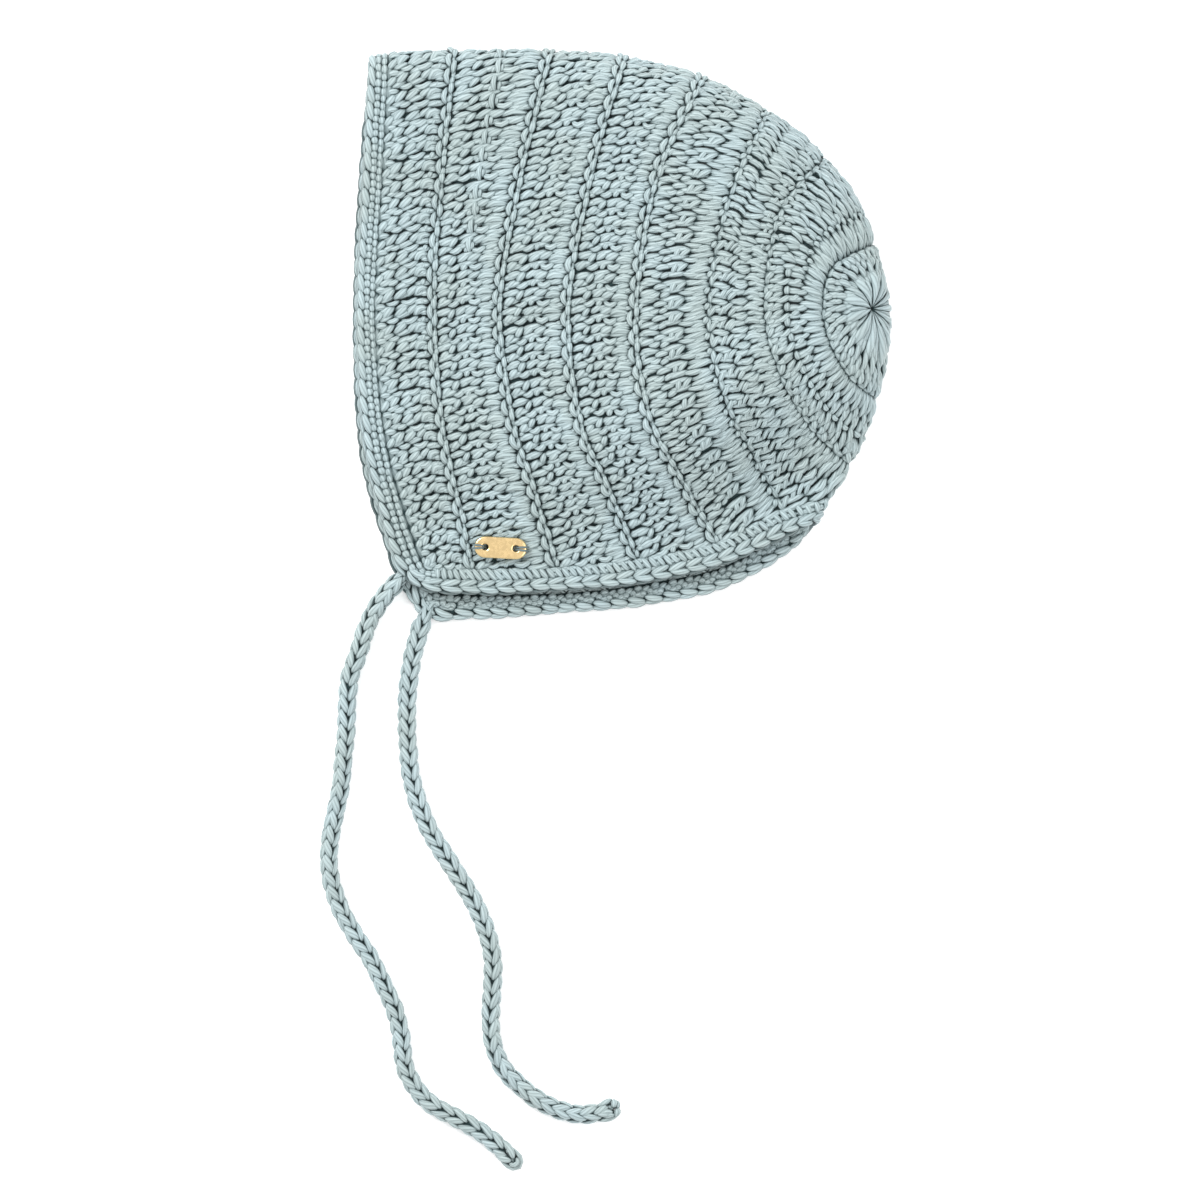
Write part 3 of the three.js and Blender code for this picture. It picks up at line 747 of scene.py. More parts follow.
def yarn_material():
    """Plied cotton: fine lines along each strand, with painted shade where it goes into the fabric,
    on its sides, in creases and in the grooves between plies.
    """
    nodes = Nodes("plied_yarn", YARN_LIGHT, 0.5)
    turn, along = nodes.strand_place()
    shade = nodes.field("shade")
    tone = nodes.noise(60)
    phase = nodes.math("ADD", turn, nodes.math("MULTIPLY", along, PLY_LEAN))
    phase = nodes.math("ADD", phase, nodes.math("MULTIPLY", shade, PLY_SHIFT))
    wave = nodes.math("SINE", nodes.math("MULTIPLY", phase, FULL_TURN * PLIES))
    ply = nodes.ramp(wave, -1.0, 0.1)
    fibre = nodes.math("MULTIPLY", nodes.noise(2600), 0.35)
    nodes.bump(nodes.math("ADD", ply, fibre), 0.6, 0.00018)
    side = nodes.math("SINE", nodes.math("MULTIPLY", turn, FULL_TURN))
    crease_shade = nodes.add("ShaderNodeAmbientOcclusion", {"Distance": CREASE_SHADE_REACH}, samples=4)
    # Painted shade: the colour darkens towards near black for strands low in the fabric, on each
    # strand's sides, in creases and where strands touch, and in the grooves between plies. The
    # per-strand shade and the tone noise add a little random tone.
    share = nodes.ramp(nodes.field("depth"), -0.5, 1.25)
    for factor in (
        nodes.ramp(nodes.math("ABSOLUTE", side), 0.0, 0.6, 0.3),
        nodes.ramp(crease_shade.outputs["AO"], 0.38, 0.95, 0.04),
        nodes.ramp(shade, -1.0, 1.0, 0.90),
        nodes.ramp(ply, 0.0, 1.0, 0.72),
        nodes.ramp(tone, 0.3, 0.7, 0.90),
    ):
        share = nodes.math("MULTIPLY", share, factor)
    top = nodes.mix(nodes.ramp(tone, 0.35, 0.65), YARN_LIGHT, YARN_COOL)
    return nodes.finished({
        "Base Color": nodes.mix(share, YARN_PAINTED_SHADE, top), "Sheen Weight": 0.1,
        "Sheen Roughness": 0.5, "Specular IOR Level": 0.45,
    })


def shade_backing_material():
    """The yarn deep between the stitches, mostly in shade: its shade is painted in as a near-black
    colour.
    """
    nodes = Nodes("painted_shade_between_stitches", YARN_PAINTED_SHADE, 0.85)
    rough = nodes.noise(420)
    nodes.bump(rough, 0.8, 0.0005)
    darkest_shade = tuple(0.45 * value for value in YARN_PAINTED_SHADE)
    share = nodes.ramp(rough, 0.35, 0.7)
    return nodes.finished({"Base Color": nodes.mix(share, darkest_shade, YARN_PAINTED_SHADE)})


def lining_material():
    """The wrong side of the crochet, seen inside the bonnet, with painted shade in the hollows of
    its stitch relief.
    """
    nodes = Nodes("wrong_side", YARN_LIGHT, 0.7)
    across, along = nodes.strand_place()
    rows = nodes.math("SINE", nodes.math("MULTIPLY", across, 2 * FULL_TURN))
    rows = nodes.math("ABSOLUTE", rows)
    place = nodes.math("ADD", along, nodes.math("MULTIPLY", rows, 0.35))
    stitches = nodes.math("SINE", nodes.math("MULTIPLY", place, 2 * FULL_TURN))
    height = nodes.math("ADD", nodes.math("ABSOLUTE", stitches), rows)
    nodes.bump(height, 1.0, 0.0012)
    # Painted shade: the low parts of the stitch relief turn near black.
    share = nodes.ramp(height, 0.2, 1.1)
    return nodes.finished({"Base Color": nodes.mix(share, YARN_PAINTED_SHADE, YARN_LIGHT)})


def gold_material():
    """Polished gold-coloured metal with faint rubbed streaks."""
    nodes = Nodes("gold_plate", GOLD_COLOUR, 0.24)
    rubbed = nodes.noise(900, 4)
    nodes.bump(rubbed, 0.08, 0.00005)
    return nodes.finished({"Metallic": 1.0, "Roughness": nodes.ramp(rubbed, 0.3, 0.7, 0.18, 0.32)})


YARN = yarn_material()
PAINTED_SHADE_BACKING = shade_backing_material()
LINING = lining_material()
GOLD = gold_material()

# Stitches: sizes in millimetres, and places in shares of a row's length
FRONT_PITCH = 5.4
WIDE_PITCH = 4.9
ROUND_PITCH = 4.45
CROWN_PITCH = 5.0
PETAL_PITCH = 10.0
LEAF_PITCH = 5.3
LEAFY = (0.34, 0.66)
LEAF_SHIFT = (49, 30)
LEAF_START = 0.6
LEAF_GROWTH = 1.4
MIDDLE_PART = (0.3, 0.7)
LOWER_START = 0.66
LOWER_END = 0.985
CHAIN_ROWS = 4

# How far stitches sway and stray along a row, and how far their strands stray along it, across
# it, in width and in height
SWAY = 0.05
SWAY_TURN = 1.7
STITCH_STRAY = 0.03
ALONG_STRAY = 0.035
ACROSS_STRAY = 0.008
WIDTH_STRAY = 0.06
HEIGHT_STRAY = 0.07


def through(points, at):
    """Smooth path through a few points, at shares of its length."""
    points = np.array(points, float)
    knots = run_along(points)
    return smooth(knots / knots[-1], points, at)


def chart_line(path, at):
    """Path of one strand of a chart, in shares of the row and of the stitch."""
    return through(np.reshape(path, (-1, 2)) / 100, at)


def moved(chart, across, along):
    return [tuple(np.add(strand, [across, along] * 3 + [0, 0])) for strand in chart]


def work_row(strands, surface, chart, row, pitch, within=(0, 1), beyond=False, kind=None, leaf=0.0,
             jitter=1.0, flat=FLAT, lift=0.0):
    """Works one chart along a row, within a share of its length or beyond it.

    Leaf is the share by which a strand shaped like a leaf has narrowed at its far end.
    """
    lengths = [length for key, length in surface.length.items() if row <= key <= row + 1]
    cells = int(round(np.mean(lengths) / pitch))
    whole = np.arange(cells)
    share = (whole + 0.5) / cells
    slides = SWAY * jitter * np.sin(whole * SWAY_TURN + row)
    slides = slides + CHANCE.normal(0, STITCH_STRAY * jitter, cells)
    top = (share < LOWER_START) | (share > LOWER_END)
    wanted = ((share > within[0]) & (share < within[1])) != beyond
    for detail, chosen in ((kind or FINE, top), (kind or PLAIN, ~top)):
        index = whole[chosen & wanted]
        if not len(index):
            continue
        at = detail[0]
        for *path, width, peak in chart:
            line = chart_line(path, at)
            loose = CHANCE.normal(0, 1, (4, len(index), 1))
            along = line[:, 1] + (index + slides[index])[:, None] + ALONG_STRAY * jitter * loose[0]
            across = line[:, 0] + ACROSS_STRAY * jitter * loose[1]
            centre, normal = surface.at(row + across, along / cells)
            wide = width * (1 + WIDTH_STRAY * loose[2])
            if leaf:
                wide = wide * (1 - leaf * at) * np.minimum(LEAF_START + LEAF_GROWTH * at, 1)
            tall = peak + HEIGHT_STRAY * loose[3]
            height = END_DIP + (tall - END_DIP) * bend(at)
            strands.add(centre, normal, wide, height, detail, flat, lift)


def fabric_rows(surface):
    """The right side of the double rows, one piece for each."""
    pieces = []
    charts = [FIRST_ROW, RIDGE_ROW, RIDGE_ROW, RIDGE_ROW, WIDE_ROUND, ROUND_ROW, LAST_ROUND]
    pitches = [FRONT_PITCH] * CHAIN_ROWS + [WIDE_PITCH, ROUND_PITCH, ROUND_PITCH]
    leaf_rows = {5: WIDE_LEAVES, 6: LEAVES + moved(LEAVES, *LEAF_SHIFT)}
    for row, (chart, pitch) in enumerate(zip(charts, pitches)):
        strands = Strands()
        work_row(strands, surface, UNDER, row, pitch, kind=PLAIN)
        if row in leaf_rows:
            work_row(strands, surface, chart, row, pitch, within=LEAFY, beyond=True)
            work_row(strands, surface, leaf_rows[row], row, LEAF_PITCH, within=LEAFY, leaf=0.55)
        else:
            work_row(strands, surface, chart, row, pitch)
        if row < CHAIN_ROWS:
            work_row(strands, surface, CHAIN, row, FRONT_PITCH)
        if row == 1:
            work_row(strands, surface, MIDDLE_CHAIN, row, FRONT_PITCH, within=MIDDLE_PART)
        pieces.append(strands.build(f"stitches_row_{row + 1}"))
    strands = Strands()
    work_row(strands, surface, UNDER[:4], CAP_ROW, CROWN_PITCH, kind=PLAIN)
    work_row(strands, surface, CROWN_ROUND, CAP_ROW, CROWN_PITCH)
    # The petals take lighter painted shade.
    work_row(strands, surface, PETALS, CAP_ROW, PETAL_PITCH, leaf=0.88, jitter=0.6, flat=0.8,
             lift=0.25)
    pieces.append(strands.build("stitches_crown_star"))
    return pieces


# Linings and cores

HEM_ROW = 0.03
LAST_RING = 7.97
SHELL_STEP = 0.125
SHELL_COLUMNS = 180
SHELL_THICKNESS = WALL / 2 - 0.1
LINING_STITCHES = 58


def halved(a, b, c, d):
    """Two triangles for each four-cornered face."""
    return np.concatenate([np.stack([a, b, c], -1), np.stack([a, c, d], -1)])


def grid_faces(rows, columns, rows_close, columns_close):
    """Triangles between neighbouring rows and columns of a grid of points."""
    i, j = np.meshgrid(np.arange(rows if rows_close else rows - 1),
                       np.arange(columns if columns_close else columns - 1), indexing="ij")
    here, after = i.ravel() * columns, (i.ravel() + 1) % rows * columns
    j = j.ravel()
    beside = (j + 1) % columns
    return halved(here + j, after + j, after + beside, here + beside)


def shell(surface, name, first, last):
    """Thin closed wall behind the stitches: its outside near black, painted shade in the gaps
    between them, and the wrong side inside.
    """
    rows = np.arange(first, last + 1e-9, SHELL_STEP)
    closed = first >= NAPE_ROW
    count = SHELL_COLUMNS
    shares = np.arange(count) / count if closed else np.linspace(0, 1, count)
    if closed:
        rows = np.append(rows[rows < LAST_RING], LAST_RING)
    outer, normal = surface.at(rows[:, None] + 0 * shares, shares + 0 * rows[:, None])
    inner = outer - normal * SHELL_THICKNESS
    points = np.concatenate([outer.reshape(-1, 3), inner.reshape(-1, 3)])
    size = len(rows) * count
    index = np.arange(size).reshape(len(rows), count)
    if closed:
        rims = [index[0], index[-1, ::-1]]
    else:
        ways = index[0, :-1], index[:-1, -1], index[-1, :0:-1], index[:0:-1, 0]
        rims = [np.concatenate(ways)]
    outside = grid_faces(len(rows), count, False, closed)
    edges = [halved(rim, np.roll(rim, -1), size + np.roll(rim, -1), size + rim) for rim in rims]
    faces = np.concatenate([outside, outside[:, ::-1] + size, *edges])
    tints = np.zeros(len(faces))
    tints[len(outside):2 * len(outside)] = 1
    where = [np.repeat(rows, count), np.tile(shares * LINING_STITCHES, len(rows))]
    where = np.tile(np.stack(where, -1), (2, 1))
    return make_mesh(name, points, faces, uv=where[faces.ravel()], tints=tints)


# Strands of the band: its (out, along) in hundredths. A height below nothing is on the inner
# face, which shows on the lower layer where it stands out past the upper one.
EDGE_CHAIN = [
    (72, -8, 61, 45, 48, 112, 2.15, 1.1),
    (74, -2, 85, 50, 92, 114, 2.05, 1),
    (92, -12, 97, 50, 92, 115, 1.9, -0.3),
]
FRONT_CHAIN = [
    (97, -18, 89, 42, 77, 107, 2.25, 1.3),
    (100, -20, 103, 50, 100, 125, 1.7, 0.05),
    (92, -12, 97, 50, 92, 115, 1.9, -0.3),
]
EDGE_UNDER = [
    (out, -10, out, 50, out, 110, 2.3, peak)
    for out, peak in ((5, 0.35), (28, 0.35), (52, 0.35), (75, 0.3))
]
EDGE_BUMPS = [
    (63, -6, 60, 50, 61, 104, 2.5, 0.95),
    (34, 30, 32, 90, 35, 146, 2.1, 0.8),
]
EDGE_RIB = [(-8, 0, 20, 45, 52, 95, 1.95, 0.95)]
EDGE_INNER = [
    (88, -5, 79, 50, 62, 112, 2.15, -1.05),
    (56, 5, 44, 22, 47, 42, 1.95, -0.95),
    (36, 30, 50, 52, 42, 75, 1.9, -0.9),
    (54, 68, 36, 84, 44, 104, 1.95, -0.95),
    (14, -5, 24, 16, 30, 34, 1.95, -0.85),
    (26, 38, 14, 60, 24, 84, 1.95, -0.85),
    (28, -10, 28, 50, 28, 110, 2.3, -0.3),
    (55, -10, 55, 50, 55, 110, 2.3, -0.3),
]
EDGE_PITCH = 5.2
RIB_PITCH = 2.2
BUMP_PITCH = 2.15

# Parts of the band by place
ALL_ROUND = (-9, 9)
FRONT = (-9, -0.2)
NECK = (-0.2, 9)
BEFORE_RIBS = (-9, 0.25)
RIBS = (0.25, 9)

# Corners of the band's core: share of the band's width, and height
CORE_SECTION = [(0, 0.7), (0.62, 0.75), (0.84, 0.45), (0.84, -0.45), (0.62, -0.75), (0, -0.7)]
CORE_START = 0.3
CORE_STEPS = 300

# How far the band's strands stray outwards, and in width and height
OUT_STRAY = 0.012
EDGE_STRAY = 0.05


def work_edge(strands, band, chart, layer, places, pitch=EDGE_PITCH, lift=0.3):
    """Works one chart along the band, on one layer and between two places."""
    cells = int(round(band.length / pitch))
    index = np.arange(cells)
    at = (index + 0.5) / cells * band.length
    place = band.read(band.place, at)
    side = np.sign(band.read(band.side, at))
    index = index[(side == layer) & (place >= places[0]) & (place < places[1])]
    slide = CHANCE.normal(0, STITCH_STRAY, len(index))
    rise = 0.5 + 0.5 * bend(FINE[0])
    for *path, width, peak in chart:
        line = chart_line(path, FINE[0])
        loose = CHANCE.normal(0, 1, (3, len(index), 1))
        along = (line[:, 1] + (index + slide)[:, None]) / cells * band.length
        centre, up = band.at(line[:, 0] + OUT_STRAY * loose[0], along)
        wide = width * (1 + EDGE_STRAY * loose[1])
        height = (abs(peak) + EDGE_STRAY * loose[2]) * rise
        strands.add(centre, up * np.sign(peak), wide, height, lift=lift)


def edging_stitches(band):
    """The band's strands: one piece on each layer."""
    pieces = []
    for name, layer in (("upper", UPPER), ("lower", LOWER)):
        strands = Strands()
        # These under strands take deeper painted shade. The band's other strands take lighter
        # painted shade.
        work_edge(strands, band, EDGE_UNDER, layer, FRONT, lift=-0.9)
        work_edge(strands, band, EDGE_UNDER, layer, NECK)
        work_edge(strands, band, FRONT_CHAIN, layer, FRONT)
        work_edge(strands, band, EDGE_CHAIN, layer, NECK)
        if layer == UPPER:
            work_edge(strands, band, EDGE_BUMPS, layer, BEFORE_RIBS, BUMP_PITCH)
            work_edge(strands, band, EDGE_RIB, layer, RIBS, RIB_PITCH)
        else:
            work_edge(strands, band, EDGE_BUMPS, layer, ALL_ROUND, BUMP_PITCH)
            work_edge(strands, band, EDGE_INNER, layer, ALL_ROUND)
        pieces.append(strands.build(f"stitches_edging_{name}"))
    return pieces


def edging_core(band):
    """Rounded band inside the edging's strands, near black as painted shade between them."""
    at = np.linspace(0, band.length, CORE_STEPS, endpoint=False)
    hem = band.read(band.hem, at)
    rim = band.read(band.rim, at)
    up = unit(band.read(band.up, at))
    width = np.linalg.norm(rim - hem, axis=1)
    rings = []
    for share, high in CORE_SECTION:
        reach = np.maximum(share * width, CORE_START)
        rings.append(hem + unit(rim - hem) * reach[:, None] + up * high)
    faces = grid_faces(CORE_STEPS, len(CORE_SECTION), True, True)[:, ::-1]
    return make_mesh("edging_core", np.stack(rings, 1).reshape(-1, 3), faces)


# Ties

TIE_PITCH = 4.4
TIE_RING = 1.45
TIE_WIDTH = 2.35
TIE_CORE = 1.5
TIE_GROOVES = (0, 120, 240)

# The plait's strands: their heights by share of their length, their length in stitches, how
# much later the second one of a pair starts, and how many degrees they stand away from their
# groove at the start and at the end
PLAIT_RISE = ([0, 0.2, 0.6, 1], [0.35, 0.5, 0.45, 0])
PLAIT_REACH = 1.4
PLAIT_SHIFT = 0.2
PLAIT_START = 58
PLAIT_END = 15
HIDDEN_RINGS = 3

# How far the plait's strands stray along the cord, round it and in width, how far inside the
# cord's two ends they stay, and how slim they are up to where they start to widen
PLAIT_ALONG_STRAY = 0.02
PLAIT_TURN_STRAY = 0.04
PLAIT_WIDTH_STRAY = 0.05
START_MARGIN = 0.4
END_MARGIN = 0.2
SLIM = 0.6
SLIM_UNTIL = 2
WIDENING = 6

# Where each cord starts inside the edging, and where its first groove is by share of its
# length, in degrees round it from its right-hand side
UPPER_BACK = (-62.8, -69.4, 4.8)
LOWER_BACK = (-57.6, -80.6, 1.8)
UPPER_TURN = ([0, 0.04, 0.09, 0.14, 0.36, 0.75, 1], [28, 32, 47, 78, 125, 112, 92])
LOWER_TURN = ([0, 0.15, 0.5, 0.7, 0.84, 1], [90, 106, 92, 80, 34, 30])

# Strands of the cords' ends: (ahead, aside, up) from the end of the middle line, and width
UPPER_KNOT = [
    ([(-2, 2.1, 1.1), (0.3, 1.5, 1.8), (2.4, 0.5, 2)], 2.2),
    ([(-2, -2.1, 1.1), (0.3, -1.5, 1.8), (2.4, -0.5, 2)], 2.2),
    ([(-1.8, 2.1, -0.2), (3.3, 2.1, 0.2), (5.1, 0.1, 0.4), (3.4, -2, 0.2),
      (-1.4, -2.1, -0.2)], 2.1),
    ([(2.2, 1.2, 1.6), (3.7, 0.9, 1.7), (4.1, -0.5, 1.7), (2.8, -1.3, 1.6)], 1.6),
    ([(-1.5, 1.6, -1.4), (3.3, 1.5, -1.4), (4.5, 0, -1.4), (3.3, -1.5, -1.4),
      (-1.5, -1.6, -1.4)], 2.2),
    ([(-1, 0, 0.2), (1.8, 0.1, 0.4), (4.2, 0, 0.4)], 2.7),
]
LOWER_KNOT = [
    ([(-2.4, -1.7, 0.9), (0, -2.5, 0.9), (2.2, -3.1, 0.8)], 2),
    ([(2.5, -3, 1), (2.6, -1.9, 1.6), (1.9, -0.7, 1.9)], 1.9),
    ([(3.1, -2.5, 0.4), (3.3, -1.2, 0.8), (2.9, 0.1, 0.8)], 1.9),
    ([(3.2, -0.3, 1), (2.8, 1, 1.3), (1.7, 2, 1.2)], 2.1),
    ([(-2.6, 2.2, 0.5), (0, 2.2, 0.6), (2.6, 2, 0.4)], 2.1),
    ([(-2, 0.3, 2), (-0.3, 0.1, 2.2), (1.5, 0.7, 2.1)], 1.7),
    ([(-1.4, 1.4, 1.6), (0.2, 1.2, 1.9), (1.8, 1.6, 1.6)], 1.7),
    ([(-1.5, -1.2, -1.4), (1, -1.7, -1.4), (2.9, -1.6, -1.4)], 2.2),
    ([(-1.5, 1.2, -1.4), (1, 1.4, -1.4), (2.8, 1.2, -1.4)], 2.2),
    ([(-1, -0.6, 0.2), (1.2, -0.8, 0.3), (2.7, -0.9, 0.2)], 2.6),
    ([(-1, 0.8, 0.2), (1.2, 0.9, 0.2), (2.4, 0.9, 0.2)], 2.4),
]
KNOT_LEAN = 1.6
# Shift of the knots' painted shade, which makes them lighter.
KNOT_SHADE_SHIFT = 1.1
KNOT_RINGS = np.array([0, 0.02, 0.06, 0.12, 0.2, 0.3, 0.4, 0.5, 0.6, 0.7, 0.8, 0.88, 0.94, 0.98, 1])


def laid(route, heights=()):
    """Points of a cord's middle line, which lies on the floor after the heights given."""
    levels = [*heights] + [CORD_REST] * (len(route) - len(heights))
    return [(x, y, level) for (x, y), level in zip(route, levels)]


def tube(centre, side, up, radius, sides=10):
    """Closed tube with flat ends: points and triangles."""
    turn = 2 * math.pi * np.arange(sides) / sides
    rings = centre[:, None] + radius * (
        np.cos(turn)[:, None] * side[:, None] + np.sin(turn)[:, None] * up[:, None])
    count = len(centre)
    first = count * sides
    here = np.arange(sides)
    beside = (here + 1) % sides
    end = first - sides
    faces = [
        grid_faces(count, sides, False, True),
        np.stack([np.full(sides, first), here, beside], -1),
        np.stack([np.full(sides, first + 1), end + beside, end + here], -1),
    ]
    points = np.concatenate([rings.reshape(-1, 3), centre[:1], centre[-1:]])
    return points, np.concatenate(faces)


def tie(name, cord, groove_turn):
    """The plait of a tie round its core, which is near black as painted shade between the strands.
    """
    strands = Strands()
    stitches = int(round(cord.length / TIE_PITCH))
    pitch = cord.length / stitches
    index = np.arange(-1, stitches)[:, None]
    at = FINE[0]
    rise = np.interp(at, *PLAIT_RISE)
    away = PLAIT_START + (PLAIT_END - PLAIT_START) * ease_in(at)
    for groove in TIE_GROOVES:
        for hand, shift in ((-1, 0), (1, PLAIT_SHIFT)):
            loose = CHANCE.normal(0, 1, (3, len(index), 1))
            along = (index + shift + PLAIT_REACH * at + PLAIT_ALONG_STRAY * loose[0]) * pitch
            along = np.clip(along, START_MARGIN, cord.length - END_MARGIN)
            middle_turn = np.interp(along / cord.length, *groove_turn) + groove
            turn = np.radians(middle_turn + hand * away) + PLAIT_TURN_STRAY * loose[1]
            centre, normal = cord.at(turn, along)
            slim = SLIM + (1 - SLIM) * ease_in((along - SLIM_UNTIL) / WIDENING)
            wide = TIE_WIDTH * (1 + PLAIT_WIDTH_STRAY * loose[2]) * slim
            strands.add(centre, normal, wide, (TIE_RING + rise) * slim)
    piece = strands.build(name)
    shown = slice(HIDDEN_RINGS, None)
    points, faces = tube(cord.centre[shown], cord.side[shown], cord.up[shown], TIE_CORE)
    return join(piece, make_mesh(f"{name}_core", points, faces))


def join(piece, core):
    """Adds the core's mesh to the piece as its second material, and removes the core."""
    piece.data.materials.append(YARN)
    piece.data.materials.append(PAINTED_SHADE_BACKING)
    core.data.materials.append(PAINTED_SHADE_BACKING)
    bpy.ops.object.select_all(action="DESELECT")
    piece.select_set(True)
    core.select_set(True)
    bpy.context.view_layer.objects.active = piece
    bpy.ops.object.join()
    return piece


def tie_end(name, cord, chart):
    """The finished end of a tie: strands that turn back into a small knot."""
    level = np.array([1.0, 1.0, 0.0])
    axes = np.stack([unit(cord.ahead[-1] * level), cord.side[-1], [0.0, 0.0, 1.0]])
    height = np.zeros((1, len(KNOT_RINGS)))
    strands = Strands()
    for path, width in chart:
        line = through(path, KNOT_RINGS)
        centre = cord.centre[-1] + line @ axes
        outward = (line + [0, 0, KNOT_LEAN]) * [0, 1, 1]
        normal = unit(outward @ axes)
        strands.add(centre[None], normal[None], np.array([width]), height,
                    (KNOT_RINGS, FINE[1]), lift=KNOT_SHADE_SHIFT)
    return strands.build(name)


# The gold plate and its thread

PLATE_LENGTH = 15.6
PLATE_HEIGHT = 6.4
PLATE_TURN = math.radians(-3)
PLATE_SOFT = 0.5
PLATE_POINTS = 64
HOLE = 0.9
HOLE_POINTS = 24
HOLE_X = (PLATE_LENGTH - PLATE_HEIGHT) / 2
SHARP_ANGLE = 1.0
THREAD = 0.7
THREAD_START = 0.2
THREAD_REACH = 4.1
THREAD_APART = 0.28
THREAD_SPREAD = 2.2
THREAD_RISE = 0.25
THREAD_SHARE = [0, 0.15, 0.5, 0.8, 1]


def ring(left, right, radius, count):
    """Places round a bar with round ends, or round a circle where its two centres meet."""
    turns = [2 * math.pi * (k + 0.5) / count for k in range(count)]
    return [((right if math.cos(turn) > 0 else left) + radius * math.cos(turn),
             radius * math.sin(turn)) for turn in turns]


def on_plate(centre, x, y):
    """Where a point of the plate is in the scene, with the plate turned a little."""
    cos, sin = math.cos(PLATE_TURN), math.sin(PLATE_TURN)
    return centre[0] + (x * cos - y * sin), centre[1] + (x * sin + y * cos)


def in_hole(face):
    centre = face.calc_center_median()
    return any(math.hypot(centre.x - x, centre.y) < 0.98 * HOLE for x in (-HOLE_X, HOLE_X))


def plate(centre, bottom, top):
    """Bar with round ends, two sewing holes and softened edges."""
    bm = bmesh.new()
    loops = [ring(-HOLE_X, HOLE_X, PLATE_HEIGHT / 2, PLATE_POINTS)]
    loops += [ring(x, x, HOLE, HOLE_POINTS) for x in (-HOLE_X, HOLE_X)]
    edges = []
    for loop in loops:
        verts = [bm.verts.new((x, y, 0)) for x, y in loop]
        edges += [bm.edges.new(pair) for pair in zip(verts, verts[1:] + verts[:1])]
    bmesh.ops.triangle_fill(bm, use_beauty=True, edges=edges)
    inside = [face for face in bm.faces if in_hole(face)]
    bmesh.ops.delete(bm, geom=inside, context="FACES_ONLY")
    made = bmesh.ops.extrude_face_region(bm, geom=bm.faces[:])
    for vert in made["geom"]:
        if isinstance(vert, bmesh.types.BMVert):
            vert.co.z += top - bottom
    bmesh.ops.recalc_face_normals(bm, faces=bm.faces)
    rims = [edge for edge in bm.edges
            if len(edge.link_faces) == 2 and edge.calc_face_angle(0) > SHARP_ANGLE]
    bmesh.ops.bevel(bm, geom=rims, offset=PLATE_SOFT, segments=4, profile=0.5, affect="EDGES")
    for vert in bm.verts:
        x, y = on_plate(centre, vert.co.x, vert.co.y)
        vert.co = (x * MM, y * MM, (bottom + vert.co.z) * MM)
    mesh = bpy.data.meshes.new("gold_plate")
    bm.to_mesh(mesh)
    bm.free()
    mesh.polygons.foreach_set("use_smooth", np.ones(len(mesh.polygons), dtype=bool))
    piece = show("gold_plate", mesh)
    piece.modifiers.new("even_normals", "WEIGHTED_NORMAL").keep_sharp = False
    return piece


def plate_thread(centre, bottom, top):
    """Two short stitches through each hole, out over the plate's end."""
    at = FINE[0]
    strands = Strands()
    z = np.interp(at, THREAD_SHARE, [bottom, top, top + THREAD_RISE, top, bottom])
    for hole in (-HOLE_X, HOLE_X):
        for lean in (-THREAD_APART, THREAD_APART):
            start = np.array([hole - THREAD_START, lean])
            end = np.array([hole + math.copysign(THREAD_REACH, hole), lean * THREAD_SPREAD])
            x, y = (start + (end - start) * at[:, None]).T
            path = np.stack([*on_plate(centre, x, y), z], -1)[None]
            normal = np.broadcast_to(np.array([0.0, 0.0, 1.0]), path.shape)
            strands.add(path, normal, np.array([THREAD]), np.zeros((1, len(at))))
    return strands.build("plate_thread")


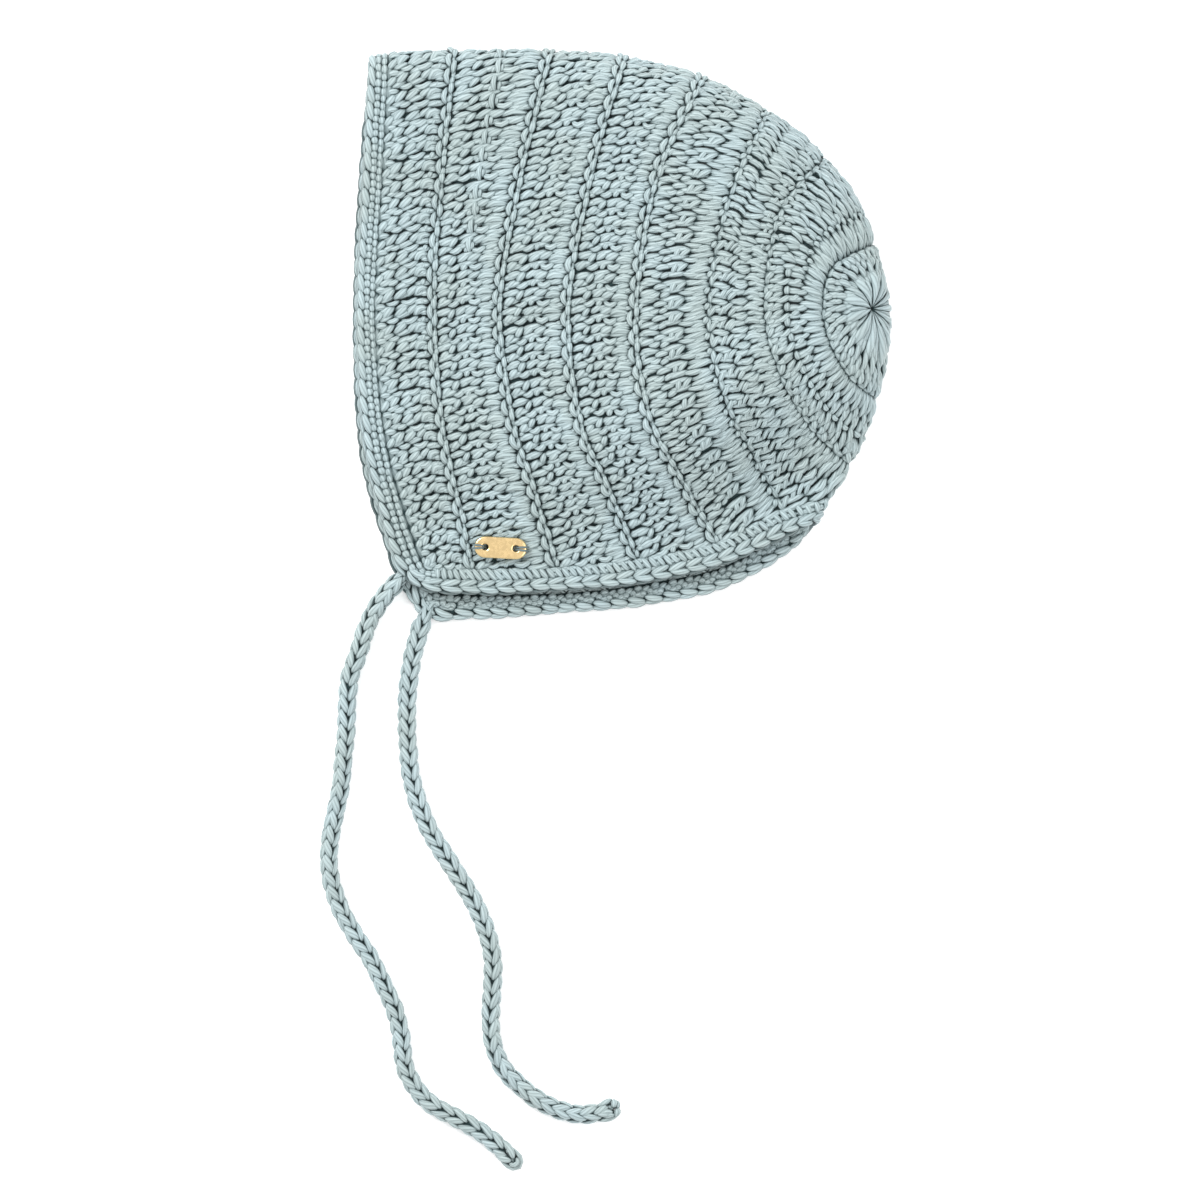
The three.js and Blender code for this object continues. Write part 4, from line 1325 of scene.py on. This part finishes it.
def dress():
    """All the pieces, each on its body and in its material."""
    surface = Surface()
    band = EdgeBand()
    for node, first, last in (("body", HEM_ROW, NAPE_ROW), ("crown", NAPE_ROW, STAR_ROW)):
        lining = shell(surface, f"{node}_lining", first, last)
        finish_piece(lining, [PAINTED_SHADE_BACKING, LINING], nodes=[node])
    for piece in fabric_rows(surface):
        finish_piece(piece, [YARN])
    finish_piece(edging_core(band), [PAINTED_SHADE_BACKING], nodes=["edging"])
    for piece in edging_stitches(band):
        finish_piece(piece, [YARN])
    for name, route, back, groove_turn, knot_chart in (
        ("tie_upper", laid(UPPER_ROUTE, UPPER_HEIGHTS), UPPER_BACK, UPPER_TURN, UPPER_KNOT),
        ("tie_lower", laid(LOWER_ROUTE), LOWER_BACK, LOWER_TURN, LOWER_KNOT),
    ):
        cord = Cord([back, *route])
        piece = finish_piece(tie(f"{name}_cord", cord, groove_turn), [], nodes=[name])
        end_node = name.replace("tie_", "tie_end_")
        knot = finish_piece(tie_end(f"{end_node}_knot", cord, knot_chart), [YARN], nodes=[end_node])
    low, high = (np.array(corner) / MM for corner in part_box("metal_tag"))
    place = ((low + high) / 2, low[2], high[2])
    finish_piece(plate(*place), [GOLD], nodes=["metal_tag"])
    finish_piece(plate_thread(*place), [YARN])


# Floor, lights and camera, in metres

CENTRE = (-0.0066, -0.0798)
CAMERA_HEIGHT = 2.5
FRAME_WIDTH = 0.36
SENSOR = 36
FLOOR_REACH = 3.0


def stage():
    """Wide pale floor, a little bright of itself."""
    mesh = bpy.data.meshes.new("floor")
    reach = FLOOR_REACH
    corners = [(-reach, -reach, 0), (reach, -reach, 0), (reach, reach, 0), (-reach, reach, 0)]
    mesh.from_pydata(corners, [], [(0, 1, 2, 3)])
    nodes = Nodes("pale_floor", FLOOR_COLOUR, 0.9)
    mesh.materials.append(nodes.finished({
        "Specular IOR Level": 0.1, "Emission Color": (1, 1, 1), "Emission Strength": 0.3,
    }))
    show("floor", mesh)


def light(name, place, size, power):
    """Square lamp turned towards the middle of the scene."""
    data = bpy.data.lights.new(name, "AREA")
    data.size = size
    data.energy = power
    lamp = show(name, data)
    lamp.location = place
    x, y, z = place
    lamp.rotation_euler = (math.atan2(math.hypot(x, y), z), 0, math.atan2(-y, -x) - math.pi / 2)


def studio():
    """White surroundings, two lamps and a camera straight above."""
    stage()
    light("key", (-0.8, 0.75, 1.15), 0.6, 18.5)
    light("fill", (0.9, -0.2, 1.3), 1.2, 9)
    scene = bpy.context.scene
    world = bpy.data.worlds.new("studio")
    world.use_nodes = True
    background = world.node_tree.nodes["Background"]
    background.inputs["Color"].default_value = (1, 1, 1, 1)
    background.inputs["Strength"].default_value = 0.75
    scene.world = world
    data = bpy.data.cameras.new("camera")
    data.sensor_width = SENSOR
    data.lens = SENSOR * CAMERA_HEIGHT / FRAME_WIDTH
    data.clip_end = 20
    scene.camera = show("camera", data)
    scene.camera.location = (*CENTRE, CAMERA_HEIGHT)
    scene.view_settings.view_transform = "Standard"


studio()
dress()
